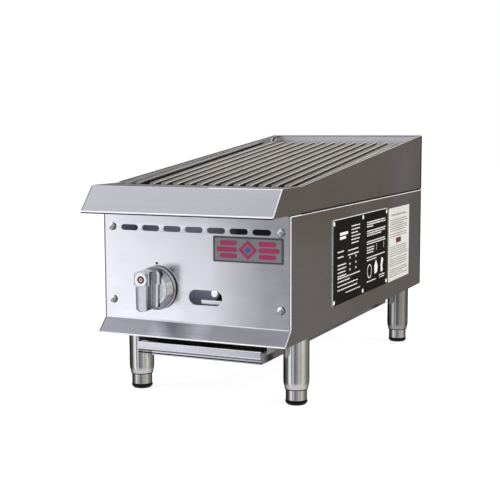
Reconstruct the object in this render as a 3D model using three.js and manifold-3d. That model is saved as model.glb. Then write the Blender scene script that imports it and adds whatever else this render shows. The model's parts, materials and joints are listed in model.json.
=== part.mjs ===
// Countertop gas charbroiler, 12 inch class: one burner under a sloped cast-iron deck.
// Millimetres, +Z up, +X to the right of a person at the controls, -Y towards that person.
// The origin is on the counter, under the middle of the whole appliance.

import * as THREE from 'three';
import { mergeVertices } from 'three/addons/utils/BufferGeometryUtils.js';
import Module from 'manifold-3d';

const wasm = await Module();
wasm.setup();

// ---------- driving dimensions ----------
const WIDTH = 305;             // outside width of the cabinet
const BODY_DEPTH = 664;        // face of the control panel to the back panel
const SIDE_HEIGHT = 184.5;     // side panel, from its lower edge to the seam
const LEG_HEIGHT = 101;        // counter to the lower edge of the side panels
const LIP_REACH = 63.3;        // how far the sloped lip stands out in front of the panel
const INLET_REACH = 25;        // how far the gas inlet stands out of the back
const SHEET = 1.5;             // stainless sheet
const GAP = 0.4;               // clearance between neighbouring pieces
const HALF = WIDTH / 2;
const INNER = HALF - SHEET;    // inside faces of the side panels
const FIT = INNER - GAP;       // sheets that sit between the side panels
const BACK = BODY_DEPTH;

// Splash guard, lip and apron
const GUARD_BOTTOM = SIDE_HEIGHT + 1.2;
const GUARD_FLAT_TOP = 224.4;
const GUARD_FLAT_END = 42.2;
const GUARD_REAR_TOP = 289.7;
const HEM = 6;
const LIP_BOTTOM = 187;
const LIP_TOP = 223.7;
const LIP_TOP_Y = -31.4;
const LIP_SHELF_END = 22;
const APRON_TOP = 22.3;
const APRON_BOTTOM = 1.4;
const APRON_REACH = 21.1;

// Cooking deck
const GRATE_FRONT = 121;
const GRATE_REAR = 612;
const GRATE_RISE = 0.117;      // rise of the deck for each millimetre towards the back
const GRATE_TOP_AT_PANEL = 206;
const GRATE_TILT = Math.atan(GRATE_RISE);
const GRATE_LENGTH = (GRATE_REAR - GRATE_FRONT) / Math.cos(GRATE_TILT);
const BAR_PITCH = 21.3;
const BARS_PER_GRATE = 7;
const BAR_WIDTH = 11;
const BAR_HEIGHT = 16;

// Firebox
const LINER_X = 140;
const LINER_BOTTOM = 50;
const FIREBOX_FRONT = 92;
const FIREBOX_REAR = 640;
const TROUGH_FRONT = 26;
const TROUGH_REAR = 117.5;

// Gas line and burner
const KNOB_X = -61.5;
const KNOB_Z = 72;
const BURNER_RADIUS = 17;
const BURNER_WALL = 2;
const BURNER_MOUTH = 60;
const BURNER_BEND = 555;       // where the two legs of the burner turn into each other
const BURNER_END = 130;
const PIPE_RADIUS = 10.65;
const PIPE_Y = 34;
const PIPE_Z = 34;
const PIPE_RUN_X = 118;
const INLET_RADIUS = 13.35;
const INLET_BORE = 10.45;
const PILOT_X = 25;
const PILOT_Z = 66;

// Legs
const LEG_X = 132;
const LEG_Y = [71.2, 586.5];
const LEG_RADIUS = 19.5;
const LEG_BOTTOM = -76.9;
const FOOT_RADIUS = 15.9;
const PAD_TOP = -95.2;

// Drip tray
const TRAY_FRONT = 8;
const TRAY_REAR = 606;
const TRAY_BOTTOM = -33;
const TRAY_LIP_TOP = -13.5;
const TRAY_LEFT = -79;
const TRAY_RIGHT = 102;
const TRAY_RIM_TOP = -15.4;
const TRAY_FLANGE = 102.5;
const RAIL_X = 106.6;

// ---------- materials ----------
const paint = (color, roughness, metalness) => new THREE.MeshStandardMaterial({ color, roughness, metalness });
const stainless = paint(0xb8b7bf, 0.34, 1);
const aluminised = paint(0x84827f, 0.55, 1);
const chrome = paint(0xc9c8c6, 0.12, 1);
const castIron = paint(0x8f8a80, 0.62, 0.7);
const blackSteel = paint(0x37363a, 0.5, 0.8);
const brass = paint(0xb08d4a, 0.35, 1);
const rubber = paint(0x141414, 0.85, 0);
const blackPlate = paint(0x262321, 0.4, 0.1);
const whiteLabel = paint(0xd9d7d2, 0.6, 0);
const badgeMetal = paint(0x9a9aa0, 0.4, 0.9);

// ---------- solids ----------
// Turns a three.js geometry into a manifold solid with its faces pointing out.
function solid(geometry) {
  geometry.deleteAttribute('normal');
  geometry.deleteAttribute('uv');
  const merged = mergeVertices(geometry, 1e-4);
  const position = merged.getAttribute('position').array;
  const index = merged.index.array;
  const corner = (i) => new THREE.Vector3().fromArray(position, 3 * i);
  const faces = [];
  let volume = 0;
  for (let i = 0; i < index.length; i += 3) {
    const [a, b, c] = [index[i], index[i + 1], index[i + 2]];
    if (a === b || b === c || c === a) continue;
    faces.push(a, b, c);
    volume += corner(a).dot(corner(b).cross(corner(c)));
  }
  if (volume < 0) faces.reverse();
  return new wasm.Manifold(new wasm.Mesh({
    numProp: 3,
    vertProperties: new Float32Array(position),
    triVerts: new Uint32Array(faces),
  }));
}

const join = (first, ...others) => others.reduce((sum, other) => sum.add(other), first);
const cut = (first, ...others) => others.reduce((rest, other) => rest.subtract(other), first);

function addPart(parent, name, shape, material) {
  const { vertProperties, triVerts } = shape.getMesh();
  const geometry = new THREE.BufferGeometry();
  geometry.setAttribute('position', new THREE.BufferAttribute(new Float32Array(vertProperties), 3));
  geometry.setIndex(new THREE.BufferAttribute(new Uint32Array(triVerts), 1));
  geometry.computeVertexNormals();
  const mesh = new THREE.Mesh(geometry, material);
  mesh.name = name;
  parent.add(mesh);
}

function block(x0, x1, y0, y1, z0, z1) {
  const geometry = new THREE.BoxGeometry(Math.abs(x1 - x0), Math.abs(y1 - y0), Math.abs(z1 - z0));
  return solid(geometry.translate((x0 + x1) / 2, (y0 + y1) / 2, (z0 + z1) / 2));
}

const extrude = (shape, depth) => new THREE.ExtrudeGeometry(shape, { depth, bevelEnabled: false, curveSegments: 6 });
const outline = (points) => new THREE.Shape(points.map(([u, v]) => new THREE.Vector2(u, v)));
const circle = (u, v, radius) => new THREE.Shape().absarc(u, v, radius, 0, 2 * Math.PI);

// A (y, z) shape pushed along X from x0 to x1.
function alongX(shape, x0, x1) {
  const turn = new THREE.Matrix4().makeBasis(
    new THREE.Vector3(0, 1, 0), new THREE.Vector3(0, 0, 1), new THREE.Vector3(1, 0, 0));
  return solid(extrude(shape, Math.abs(x1 - x0)).applyMatrix4(turn).translate(Math.min(x0, x1), 0, 0));
}

// An (x, z) shape pushed along Y from y0 to y1.
function alongY(shape, y0, y1) {
  return solid(extrude(shape, y1 - y0).rotateX(Math.PI / 2).translate(0, y1, 0));
}

// An (x, y) shape pushed along Z from z0 to z1.
const alongZ = (shape, z0, z1) => solid(extrude(shape, z1 - z0).translate(0, 0, z0));

// A round solid about a vertical axis; the profile is a list of (radius, z).
function turned(profile, x, y, segments = 32) {
  const points = profile.map(([radius, z]) => new THREE.Vector2(radius, z));
  return solid(new THREE.LatheGeometry(points, segments).rotateX(Math.PI / 2).translate(x, y, 0));
}

// The same about an axis along Y; the profile is a list of (radius, y).
function turnedAlongY(profile, x, z, segments = 32) {
  const points = profile.map(([radius, y]) => new THREE.Vector2(radius, y));
  return solid(new THREE.LatheGeometry(points, segments).translate(x, 0, z));
}

const roundBar = (x, z, radius, y0, y1) => alongY(circle(x, z, radius), y0, y1);

// The outline of a bent sheet: one face follows the points, the other lies to their left.
function bent(points, thickness = SHEET) {
  const path = points.map(([u, v]) => new THREE.Vector2(u, v));
  const normal = (from, to) => {
    const along = to.clone().sub(from).normalize();
    return new THREE.Vector2(-along.y, along.x);
  };
  const inner = path.map((point, i) => {
    const before = normal(path[Math.max(i, 1) - 1], path[Math.max(i, 1)]);
    const after = normal(path[Math.min(i, path.length - 2)], path[Math.min(i, path.length - 2) + 1]);
    const mitre = before.clone().add(after).divideScalar(1 + before.dot(after));
    return point.clone().addScaledVector(mitre, thickness);
  });
  return new THREE.Shape([...path, ...inner.reverse()]);
}

// A slot with round ends, centred on (u, v).
function slot(u, v, length, height) {
  const radius = height / 2;
  const reach = length / 2 - radius;
  return new THREE.Shape()
    .absarc(u + reach, v, radius, -Math.PI / 2, Math.PI / 2)
    .absarc(u - reach, v, radius, Math.PI / 2, 1.5 * Math.PI);
}

// A round rod along a curve.
function rodAlong(curve, radius, steps) {
  const settings = { extrudePath: curve, steps, bevelEnabled: false, curveSegments: 6 };
  return solid(new THREE.ExtrudeGeometry(circle(0, 0, radius), settings));
}

const grateUnderside = (y) => GRATE_TOP_AT_PANEL + GRATE_RISE * y - BAR_HEIGHT / Math.cos(GRATE_TILT);
const guardTop = (y) => GUARD_FLAT_TOP
  + Math.max(y - GUARD_FLAT_END, 0) * (GUARD_REAR_TOP - GUARD_FLAT_TOP) / (BACK - GUARD_FLAT_END);
const sides = [['left', -1], ['right', 1]];

// ---------- the whole, and the cabinet frame ----------
// In the cabinet frame y = 0 is the face of the control panel and z = 0 the lower edge of the sides.
const charbroiler = new THREE.Group();
const cabinet = new THREE.Group();
cabinet.position.set(0, (LIP_REACH - BODY_DEPTH - INLET_REACH) / 2, LEG_HEIGHT);
charbroiler.add(cabinet);

// ---------- sheet metal cabinet ----------
const SCREWS = [[-137.5, 50.5], [137.5, 50.5], [-137.5, 161], [137.5, 161]];
const SCREW_HOLE = 2.4;

for (const [name, side] of sides) {
  const plate = alongX(outline([
    [0, APRON_TOP + 0.5], [1.6, APRON_TOP - 1.1], [1.6 - APRON_REACH, 0], [BACK, 0],
    [BACK, SIDE_HEIGHT], [0, SIDE_HEIGHT],
  ]), side * INNER, side * HALF);
  const frontFlange = block(side * 130, side * (HALF - 0.5), SHEET + GAP, 2 * SHEET + GAP, 42, 172);
  const topFlange = block(side * 142.5, side * (HALF - 0.5), 12, BACK - 16, SIDE_HEIGHT - SHEET, SIDE_HEIGHT);
  const holes = SCREWS.filter(([x]) => x * side > 0).map(([x, z]) => roundBar(x, z, SCREW_HOLE, 0, 9));
  addPart(cabinet, `${name}_side_panel`, cut(join(plate, frontFlange, topFlange), ...holes), stainless);
}

// Pan with an opening over the drip tray, side flanges turned up, and holes for the leg studs.
const PAN_OPENING = { x: 86, front: 70, rear: 590 };
const STUD_RADIUS = 5;
const panSheet = outline([[-FIT, 4], [FIT, 4], [FIT, BACK - 2], [-FIT, BACK - 2]]);
panSheet.holes.push(outline([
  [-PAN_OPENING.x, PAN_OPENING.front], [PAN_OPENING.x, PAN_OPENING.front],
  [PAN_OPENING.x, PAN_OPENING.rear], [-PAN_OPENING.x, PAN_OPENING.rear],
]));
for (const y of LEG_Y) {
  for (const [, side] of sides) panSheet.holes.push(circle(side * LEG_X, y, STUD_RADIUS + GAP));
}
const panFlanges = sides.map(([, side]) => block(side * (FIT - SHEET), side * FIT, 4, BACK - 2, 0, 20));
addPart(cabinet, 'bottom_pan', join(alongZ(panSheet, 0, SHEET), ...panFlanges), aluminised);

// Back panel with cooling slots and the hole for the gas inlet.
const backSheet = outline([
  [-FIT, SHEET + GAP], [FIT, SHEET + GAP], [FIT, SIDE_HEIGHT], [-FIT, SIDE_HEIGHT],
]);
backSheet.holes.push(circle(PIPE_RUN_X, PIPE_Z, INLET_RADIUS + 1));
for (let i = -2; i <= 2; i += 1) backSheet.holes.push(slot(i * 46, 150, 34, 8.5));
const backFlange = block(-FIT, FIT, BACK - 12, BACK - SHEET / 2, SIDE_HEIGHT - SHEET, SIDE_HEIGHT);
addPart(cabinet, 'back_panel', join(alongY(backSheet, BACK - SHEET, BACK), backFlange), stainless);

// Control panel: cooling slots, lighting port, knob hole and screw holes.
const VENT = { length: 28.5, height: 8.5, pitch: 36, z: 160.5 };
const PORT = { x: 17.9, z: 61.4, length: 54, height: 22.5 };
const panelSheet = outline([
  [-FIT, APRON_TOP + 0.6], [FIT, APRON_TOP + 0.6], [FIT, SIDE_HEIGHT], [-FIT, SIDE_HEIGHT],
]);
for (let i = -3; i <= 3; i += 1) panelSheet.holes.push(slot(i * VENT.pitch, VENT.z, VENT.length, VENT.height));
panelSheet.holes.push(slot(PORT.x, PORT.z, PORT.length, PORT.height));
panelSheet.holes.push(circle(KNOB_X, KNOB_Z, 7));
for (const [x, z] of SCREWS) panelSheet.holes.push(circle(x, z, SCREW_HOLE));
addPart(cabinet, 'control_panel', alongY(panelSheet, 0, SHEET), stainless);

SCREWS.forEach(([x, z], i) => {
  const profile = [[0, -3.6], [2.2, -3.4], [4.4, -2.6], [5.9, -0.9], [6, -GAP], [2, -GAP], [2, 10], [0, 11]];
  addPart(cabinet, `panel_screw_${i + 1}`, turnedAlongY(profile, x, z, 20), chrome);
});

// Apron under the control panel: a sloped face as wide as the cabinet, on a flange behind the panel.
const apronSlope = bent([[0, APRON_TOP], [-APRON_REACH, APRON_BOTTOM]]);
const apronFolds = bent([
  [SHEET + GAP, APRON_TOP + 16], [SHEET + GAP, APRON_TOP], [0, APRON_TOP],
  [-APRON_REACH, APRON_BOTTOM], [-APRON_REACH + 14, APRON_BOTTOM],
]);
addPart(cabinet, 'front_apron',
  join(alongX(apronSlope, -HALF, HALF), alongX(apronFolds, -FIT, FIT)), stainless);

// ---------- lip and splash guards ----------
const lipSlope = bent([[LIP_TOP_Y, LIP_TOP], [-LIP_REACH, LIP_BOTTOM]]);
const lipFolds = bent([
  [LIP_SHELF_END, LIP_TOP - 10], [LIP_SHELF_END, LIP_TOP], [LIP_TOP_Y, LIP_TOP],
  [-LIP_REACH, LIP_BOTTOM], [12, LIP_BOTTOM],
]);
addPart(cabinet, 'front_lip',
  join(alongX(lipSlope, -HALF, HALF), alongX(lipFolds, -FIT, FIT)), stainless);

// The front edge of a guard runs just behind the sloped sheet of the lip.
const lipSlant = new THREE.Vector2(LIP_TOP_Y + LIP_REACH, LIP_TOP - LIP_BOTTOM).normalize();
const behindLip = (z) => -LIP_REACH + ((z - LIP_BOTTOM) * lipSlant.x + SHEET + GAP) / lipSlant.y;
for (const [name, side] of sides) {
  const plate = alongX(outline([
    [behindLip(GUARD_BOTTOM), GUARD_BOTTOM], [BACK, GUARD_BOTTOM], [BACK, GUARD_REAR_TOP],
    [GUARD_FLAT_END, GUARD_FLAT_TOP], [behindLip(GUARD_FLAT_TOP), GUARD_FLAT_TOP],
  ]), side * INNER, side * HALF);
  const hem = alongX(outline([
    [LIP_SHELF_END + 2, GUARD_FLAT_TOP], [GUARD_FLAT_END, GUARD_FLAT_TOP],
    [BACK - 12, guardTop(BACK - 12)], [BACK - 12, guardTop(BACK - 12) - SHEET],
    [GUARD_FLAT_END, GUARD_FLAT_TOP - SHEET], [LIP_SHELF_END + 2, GUARD_FLAT_TOP - SHEET],
  ]), side * (HALF - HEM), side * (HALF - 0.5));
  const foot = block(side * 142.5, side * (HALF - 0.5), 14, BACK - 14, GUARD_BOTTOM, GUARD_BOTTOM + SHEET);
  addPart(cabinet, `${name}_splash_guard`, join(plate, hem, foot), stainless);
}

const backGuardPlate = block(-FIT, FIT, BACK - SHEET, BACK, GUARD_BOTTOM, GUARD_REAR_TOP);
const backGuardHem = block(-FIT, FIT, BACK - 9, BACK - SHEET / 2, GUARD_REAR_TOP - SHEET, GUARD_REAR_TOP);
const backGuardFoot = block(-FIT, FIT, BACK - 12, BACK - SHEET / 2, GUARD_BOTTOM, GUARD_BOTTOM + SHEET);
addPart(cabinet, 'back_splash_guard', join(backGuardPlate, backGuardHem, backGuardFoot), stainless);

// ---------- grease trough ----------
// The grooves of the grates drain forward into it; a slot at its back lets the grease fall to the tray.
const troughSheet = alongX(bent([
  [TROUGH_FRONT, 216], [TROUGH_FRONT, 194], [TROUGH_REAR, 189], [TROUGH_REAR, 201],
]), -FIT, FIT);
const troughEnds = sides.map(([, side]) => alongX(outline([
  [TROUGH_FRONT + 0.5, 194.5], [TROUGH_REAR - 0.5, 189.5], [TROUGH_REAR - 0.5, 200], [TROUGH_FRONT + 0.5, 208],
]), side * (FIT - SHEET), side * FIT));
const troughOutlet = alongZ(slot(0, 103, 90, 10), 180, 195);
addPart(cabinet, 'grease_trough', cut(join(troughSheet, ...troughEnds), troughOutlet), stainless);

// ---------- firebox ----------
for (const [name, side] of sides) {
  const rearEnd = FIREBOX_REAR - GAP;
  const frontEnd = TROUGH_REAR + 1;
  const shelf = 0.8;           // the ledge lies this far under the grates
  const wall = alongX(outline([
    [FIREBOX_FRONT + SHEET + GAP, LINER_BOTTOM], [rearEnd, LINER_BOTTOM], [rearEnd, grateUnderside(rearEnd) - shelf],
    [frontEnd, grateUnderside(frontEnd) - shelf], [frontEnd, 183], [FIREBOX_FRONT + SHEET + GAP, 183],
  ]), side * LINER_X, side * (LINER_X + SHEET));
  const ledge = alongX(outline([
    [frontEnd, grateUnderside(frontEnd) - shelf], [rearEnd, grateUnderside(rearEnd) - shelf],
    [rearEnd, grateUnderside(rearEnd) - shelf - SHEET], [frontEnd, grateUnderside(frontEnd) - shelf - SHEET],
  ].reverse()), side * (LINER_X + 0.5), side * FIT);
  addPart(cabinet, `${name}_heat_shield`, join(wall, ledge), aluminised);
}

const frontShield = outline([
  [-FIT, LINER_BOTTOM], [FIT, LINER_BOTTOM], [FIT, 182], [-FIT, 182],
]);
frontShield.holes.push(circle(KNOB_X, KNOB_Z, BURNER_RADIUS + 0.8));
frontShield.holes.push(circle(0, 92, 4));
addPart(cabinet, 'front_heat_shield', alongY(frontShield, FIREBOX_FRONT, FIREBOX_FRONT + SHEET), aluminised);
addPart(cabinet, 'rear_heat_shield',
  block(-LINER_X + GAP, LINER_X - GAP, FIREBOX_REAR + GAP, FIREBOX_REAR + GAP + SHEET, LINER_BOTTOM + 6, 262),
  aluminised);

// Cross members between the liners: angles with one flat leg and one upright leg.
const CROSS = LINER_X - GAP;
function angleBar(name, y, top, depth, drop) {
  const flat = block(-CROSS, CROSS, y, y + depth, top - 2, top);
  const upright = block(-CROSS, CROSS, y, y + 2 * Math.sign(depth), top - drop, top);
  addPart(cabinet, name, join(flat, upright), aluminised);
}
const RADIANT_BASE = 100;      // lowest edge of the upper faces of the radiants
const RADIANT_REST = RADIANT_BASE - 2.4 - GAP;
const BURNER_UNDERSIDE = KNOB_Z - BURNER_RADIUS - GAP;
angleBar('front_grate_rest', GRATE_FRONT + 1, grateUnderside(GRATE_FRONT + 1) - GAP, 14, 22);
angleBar('rear_grate_rest', GRATE_REAR + 2, grateUnderside(GRATE_REAR - 14) - GAP, -16, 24);
angleBar('front_radiant_rest', 142, RADIANT_REST, 16, 6);
angleBar('rear_radiant_rest', 590, RADIANT_REST, -16, 6);
angleBar('front_burner_bracket', 170, BURNER_UNDERSIDE, 18, 5);
angleBar('rear_burner_bracket', 520, BURNER_UNDERSIDE, 18, 5);

// ---------- burner ----------
const bendCurve = new THREE.CatmullRomCurve3(Array.from({ length: 17 }, (_, i) => {
  const angle = Math.PI * (1 - i / 16);
  return new THREE.Vector3(-KNOB_X * Math.cos(angle), BURNER_BEND - KNOB_X * Math.sin(angle), KNOB_Z);
}));
function burnerBody(radius, mouth, end) {
  const bend = rodAlong(bendCurve, radius, 14);
  const fed = roundBar(KNOB_X, KNOB_Z, radius, mouth, BURNER_BEND + 1);
  const back = roundBar(-KNOB_X, KNOB_Z, radius, end, BURNER_BEND + 1);
  return join(bend, fed, back);
}
const PORT_ROWS = 10;
const flamePorts = [];
for (let i = 0; i < PORT_ROWS; i += 1) {
  const y = 160 + i * (BURNER_BEND - 180) / (PORT_ROWS - 1);
  for (const [, side] of sides) {
    flamePorts.push(block(side * -KNOB_X - 7, side * -KNOB_X + 7, y, y + 3, KNOB_Z + 10, KNOB_Z + 30));
  }
}
const AIR_WINDOW = { front: 66, rear: 80, height: 14 };
const airWindow = (reach) => block(KNOB_X - reach, KNOB_X + reach,
  AIR_WINDOW.front, AIR_WINDOW.rear, KNOB_Z - AIR_WINDOW.height / 2, KNOB_Z + AIR_WINDOW.height / 2);
addPart(cabinet, 'burner', cut(
  burnerBody(BURNER_RADIUS, BURNER_MOUTH, BURNER_END),
  burnerBody(BURNER_RADIUS - BURNER_WALL, BURNER_MOUTH - 1, BURNER_END + 3),
  airWindow(BURNER_RADIUS + 2), ...flamePorts), aluminised);

// Sleeve that turns on the burner's mouth and covers its air windows.
const sleeve = turnedAlongY([
  [BURNER_RADIUS + GAP, AIR_WINDOW.front - 4], [BURNER_RADIUS + 4, AIR_WINDOW.front - 4],
  [BURNER_RADIUS + 4, AIR_WINDOW.front - 2.5], [BURNER_RADIUS + 2, AIR_WINDOW.front - 2.5],
  [BURNER_RADIUS + 2, AIR_WINDOW.rear + 3], [BURNER_RADIUS + GAP, AIR_WINDOW.rear + 3],
  [BURNER_RADIUS + GAP, AIR_WINDOW.front - 4],
], KNOB_X, KNOB_Z, 24);
addPart(cabinet, 'air_shutter', cut(sleeve, airWindow(BURNER_RADIUS + 5)), aluminised);

// Radiants: folded plates that stand as a roof over each leg of the burner.
const RADIANT_APEX = 140;
const RADIANT_HALF = 33;
for (const [name, side] of sides) {
  const centre = -KNOB_X * side;
  const roof = alongY(bent([
    [centre - RADIANT_HALF, RADIANT_BASE], [centre, RADIANT_APEX], [centre + RADIANT_HALF, RADIANT_BASE],
  ].reverse(), 3), 136, 594);
  const vents = [];
  for (let i = 0; i < 6; i += 1) {
    const y = 180 + i * 70;
    vents.push(block(centre - 40, centre + 40, y, y + 26, RADIANT_BASE + 14, RADIANT_BASE + 22));
  }
  addPart(cabinet, `${name}_radiant`, cut(roof, ...vents), castIron);
}

// ---------- cooking grates ----------
// The deck frame starts at the front tips of the bars, on the cooking plane, and tilts with it.
const deck = new THREE.Group();
deck.position.set(0, GRATE_FRONT, GRATE_TOP_AT_PANEL + GRATE_RISE * GRATE_FRONT);
deck.rotation.x = GRATE_TILT;
cabinet.add(deck);
const GROOVE = 4.2;
const RIM = 1.9;
const half = BAR_WIDTH / 2;
const barSection = [
  [-half, 0], [-half + RIM, 0], [-1, -GROOVE], [1, -GROOVE], [half - RIM, 0], [half, 0],
  [3, -BAR_HEIGHT], [-3, -BAR_HEIGHT],
];
const deckEnd = GRATE_LENGTH;
for (const [name, side] of sides) {
  const middle = side * BAR_PITCH * BARS_PER_GRATE / 2;
  const reach = (BARS_PER_GRATE - 1) / 2;
  const bars = [];
  for (let i = -reach; i <= reach; i += 1) {
    const x = middle + i * BAR_PITCH;
    bars.push(alongY(outline(barSection.map(([u, v]) => [x + u, v])), 0, deckEnd));
  }
  const ribHalf = reach * BAR_PITCH + 2;
  const ribs = [7, deckEnd / 4, deckEnd / 2, 3 * deckEnd / 4, deckEnd - 7].map((y) =>
    block(middle - ribHalf, middle + ribHalf, y - 4, y + 4, -BAR_HEIGHT, -7));
  addPart(deck, `${name}_grate`, join(...bars, ...ribs), castIron);
}

// ---------- gas line ----------
const frontPipe = alongX(circle(PIPE_Y, PIPE_Z, PIPE_RADIUS), -96, PIPE_RUN_X);
const runPipe = roundBar(PIPE_RUN_X, PIPE_Z, PIPE_RADIUS, PIPE_Y, 630);
const cornerElbow = turned([
  [0, PIPE_Z - 13.5], [13.5, PIPE_Z - 13.5], [13.5, PIPE_Z + 13.5], [0, PIPE_Z + 13.5],
], PIPE_RUN_X, PIPE_Y, 16);
const pipeBore = join(
  alongX(circle(PIPE_Y, PIPE_Z, 7.9), -90, PIPE_RUN_X + 1),
  roundBar(PIPE_RUN_X, PIPE_Z, 7.9, PIPE_Y, 631));
addPart(cabinet, 'manifold_pipe', cut(join(frontPipe, runPipe, cornerElbow), pipeBore), blackSteel);

// Coupling and nipple: the outside end is the 3/4 inch gas connection.
const nippleEnd = BACK + INLET_REACH;
addPart(cabinet, 'gas_inlet', turnedAlongY([
  [INLET_BORE, 630 + GAP], [16.5, 630 + GAP], [16.5, 655], [INLET_RADIUS, 655], [INLET_RADIUS, nippleEnd],
  [INLET_BORE, nippleEnd], [INLET_BORE, 630 + GAP],
], PIPE_RUN_X, PIPE_Z, 24), blackSteel);

// Burner valve: body with a tail down to the manifold and an outlet towards the burner.
const VALVE_FRONT = 12;
const tailBottom = PIPE_Z + PIPE_RADIUS + GAP;
const valveShape = join(
  roundBar(KNOB_X, KNOB_Z, 13, VALVE_FRONT, 44),
  block(KNOB_X - 9, KNOB_X + 9, 24, 46, tailBottom + 3, KNOB_Z),
  turned([[0, tailBottom], [7, tailBottom], [7, KNOB_Z], [0, KNOB_Z]], KNOB_X, PIPE_Y, 16),
  roundBar(KNOB_X, KNOB_Z, 7, 43, 50));
const STEM_RADIUS = 4;
addPart(cabinet, 'gas_valve_body',
  cut(valveShape, roundBar(KNOB_X, KNOB_Z, STEM_RADIUS + GAP, VALVE_FRONT - 1, 32)), brass);
addPart(cabinet, 'valve_stem', turnedAlongY([
  [0, -34], [STEM_RADIUS, -34], [STEM_RADIUS, 31], [0, 31],
], KNOB_X, KNOB_Z, 16), brass);
addPart(cabinet, 'orifice_hood', turnedAlongY([
  [0, 50 + GAP], [9, 50 + GAP], [9, 58], [6, 65], [1, 65], [1, 60], [0, 60],
], KNOB_X, KNOB_Z, 6), brass);

// Pilot: valve with its adjusting screw behind the port, tube, and the pilot burner by the main burner.
const pilotShape = join(
  roundBar(PILOT_X, PILOT_Z, 6.5, 18, 36),
  turned([[0, tailBottom], [4.5, tailBottom], [4.5, PILOT_Z], [0, PILOT_Z]], PILOT_X, PIPE_Y - 4, 12),
  turned([[0, PILOT_Z], [4, PILOT_Z], [4, PILOT_Z + 12], [0, PILOT_Z + 12]], PILOT_X, PIPE_Y - 4, 12));
const pilotHole = roundBar(PILOT_X, PILOT_Z, 3.4, 17, 26);
addPart(cabinet, 'pilot_valve', cut(pilotShape, pilotHole), brass);
const screwShape = turnedAlongY([[0, 14.6], [5, 14.6], [5, 17.6], [3, 17.6], [3, 25], [0, 25]], PILOT_X, PILOT_Z, 16);
addPart(cabinet, 'pilot_screw', cut(screwShape, block(PILOT_X - 6, PILOT_X + 6, 14, 15.8, PILOT_Z - 0.7, PILOT_Z + 0.7)),
  brass);
const pilotRoute = new THREE.CatmullRomCurve3([
  [PILOT_X, PIPE_Y - 4, PILOT_Z + 13.4], [PILOT_X, 33, 86], [PILOT_X - 9, 48, 92], [6, 74, 92],
  [0, FIREBOX_FRONT, 92], [-10, 108, 90], [-27, 116, 86], [-34, 125.6, 84],
].map((point) => new THREE.Vector3(...point)));
addPart(cabinet, 'pilot_tube', rodAlong(pilotRoute, 2.2, 26), aluminised);
addPart(cabinet, 'pilot_burner', join(
  block(-40, -28, 127.4, 138, 79, 89),
  block(-43, -31, 132, 140.5, 86, 94)), aluminised);

// ---------- control knob ----------
// A dished skirt with a raised T grip across it.
const SKIRT_BACK = -2.5;
const skirt = turnedAlongY([
  [0, SKIRT_BACK], [33, SKIRT_BACK], [33, -6.5], [31.5, -8.5], [24, -17], [20, -19.5], [0, -19.5],
].reverse(), KNOB_X, KNOB_Z, 40);
const GRIP = { half: 10, top: 29, bottom: -29, front: -49 };
const gripShape = alongY(new THREE.Shape()
  .moveTo(KNOB_X - GRIP.half, KNOB_Z + GRIP.bottom + 6)
  .lineTo(KNOB_X - GRIP.half + 3, KNOB_Z + GRIP.bottom)
  .lineTo(KNOB_X + GRIP.half - 3, KNOB_Z + GRIP.bottom)
  .lineTo(KNOB_X + GRIP.half, KNOB_Z + GRIP.bottom + 6)
  .lineTo(KNOB_X + GRIP.half, KNOB_Z + GRIP.top - 10)
  .absarc(KNOB_X, KNOB_Z + GRIP.top - 10, GRIP.half, 0, Math.PI), GRIP.front, -12);
addPart(cabinet, 'control_knob',
  cut(join(skirt, gripShape), roundBar(KNOB_X, KNOB_Z, STEM_RADIUS + GAP, -34 - GAP, 0)), chrome);

// ---------- legs and feet ----------
const legNames = ['front', 'rear'];
for (const [name, side] of sides) {
  LEG_Y.forEach((y, i) => {
    const x = side * LEG_X;
    const label = `${legNames[i]}_${name}`;
    addPart(cabinet, `${label}_leg`, turned([
      [0, 12], [STUD_RADIUS, 12], [STUD_RADIUS, -GAP], [LEG_RADIUS, -GAP], [LEG_RADIUS, LEG_BOTTOM + 8],
      [LEG_RADIUS - 0.8, LEG_BOTTOM + 5], [LEG_RADIUS - 2.6, LEG_BOTTOM], [FOOT_RADIUS + GAP, LEG_BOTTOM],
      [FOOT_RADIUS + GAP, LEG_BOTTOM + 6], [LEG_RADIUS - SHEET, LEG_BOTTOM + 8], [LEG_RADIUS - SHEET, -9], [0, -9],
    ], x, y, 28), chrome);
    addPart(cabinet, `${label}_foot`, turned([
      [0, -44], [FOOT_RADIUS, -44], [FOOT_RADIUS, PAD_TOP + GAP], [0, PAD_TOP + GAP],
    ], x, y, 28), chrome);
    addPart(cabinet, `${label}_foot_pad`, turned([
      [0, PAD_TOP], [FOOT_RADIUS + 0.4, PAD_TOP], [FOOT_RADIUS + 0.7, PAD_TOP - 2.2],
      [FOOT_RADIUS - 3, -LEG_HEIGHT], [0, -LEG_HEIGHT],
    ], x, y, 24), rubber);
  });
}

// ---------- drip tray and its rails ----------
const tray = cut(
  block(TRAY_LEFT, TRAY_RIGHT, TRAY_FRONT + 3, TRAY_REAR, TRAY_BOTTOM, TRAY_RIM_TOP),
  block(TRAY_LEFT + SHEET, TRAY_RIGHT - SHEET, TRAY_FRONT + 3 + SHEET, TRAY_REAR - SHEET,
    TRAY_BOTTOM + SHEET, TRAY_RIM_TOP + 1));
const rimBottom = TRAY_RIM_TOP - SHEET;
const trayRims = [
  block(-RAIL_X + GAP + 0.4, TRAY_LEFT + 0.5, 24, TRAY_REAR, rimBottom, TRAY_RIM_TOP),
  block(TRAY_RIGHT - 0.5, RAIL_X - GAP - 0.4, 24, TRAY_REAR, rimBottom, TRAY_RIM_TOP),
];
// Pull along the front edge: a face that curls back under itself.
const pull = alongX(bent([
  [TRAY_FRONT + 4, TRAY_LIP_TOP], [TRAY_FRONT, TRAY_LIP_TOP], [TRAY_FRONT, -23],
  [TRAY_FRONT + 1, -26], [TRAY_FRONT + 4, -28.4],
]), -TRAY_FLANGE, TRAY_FLANGE);
addPart(cabinet, 'drip_tray', join(tray, ...trayRims, pull), stainless);

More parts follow.
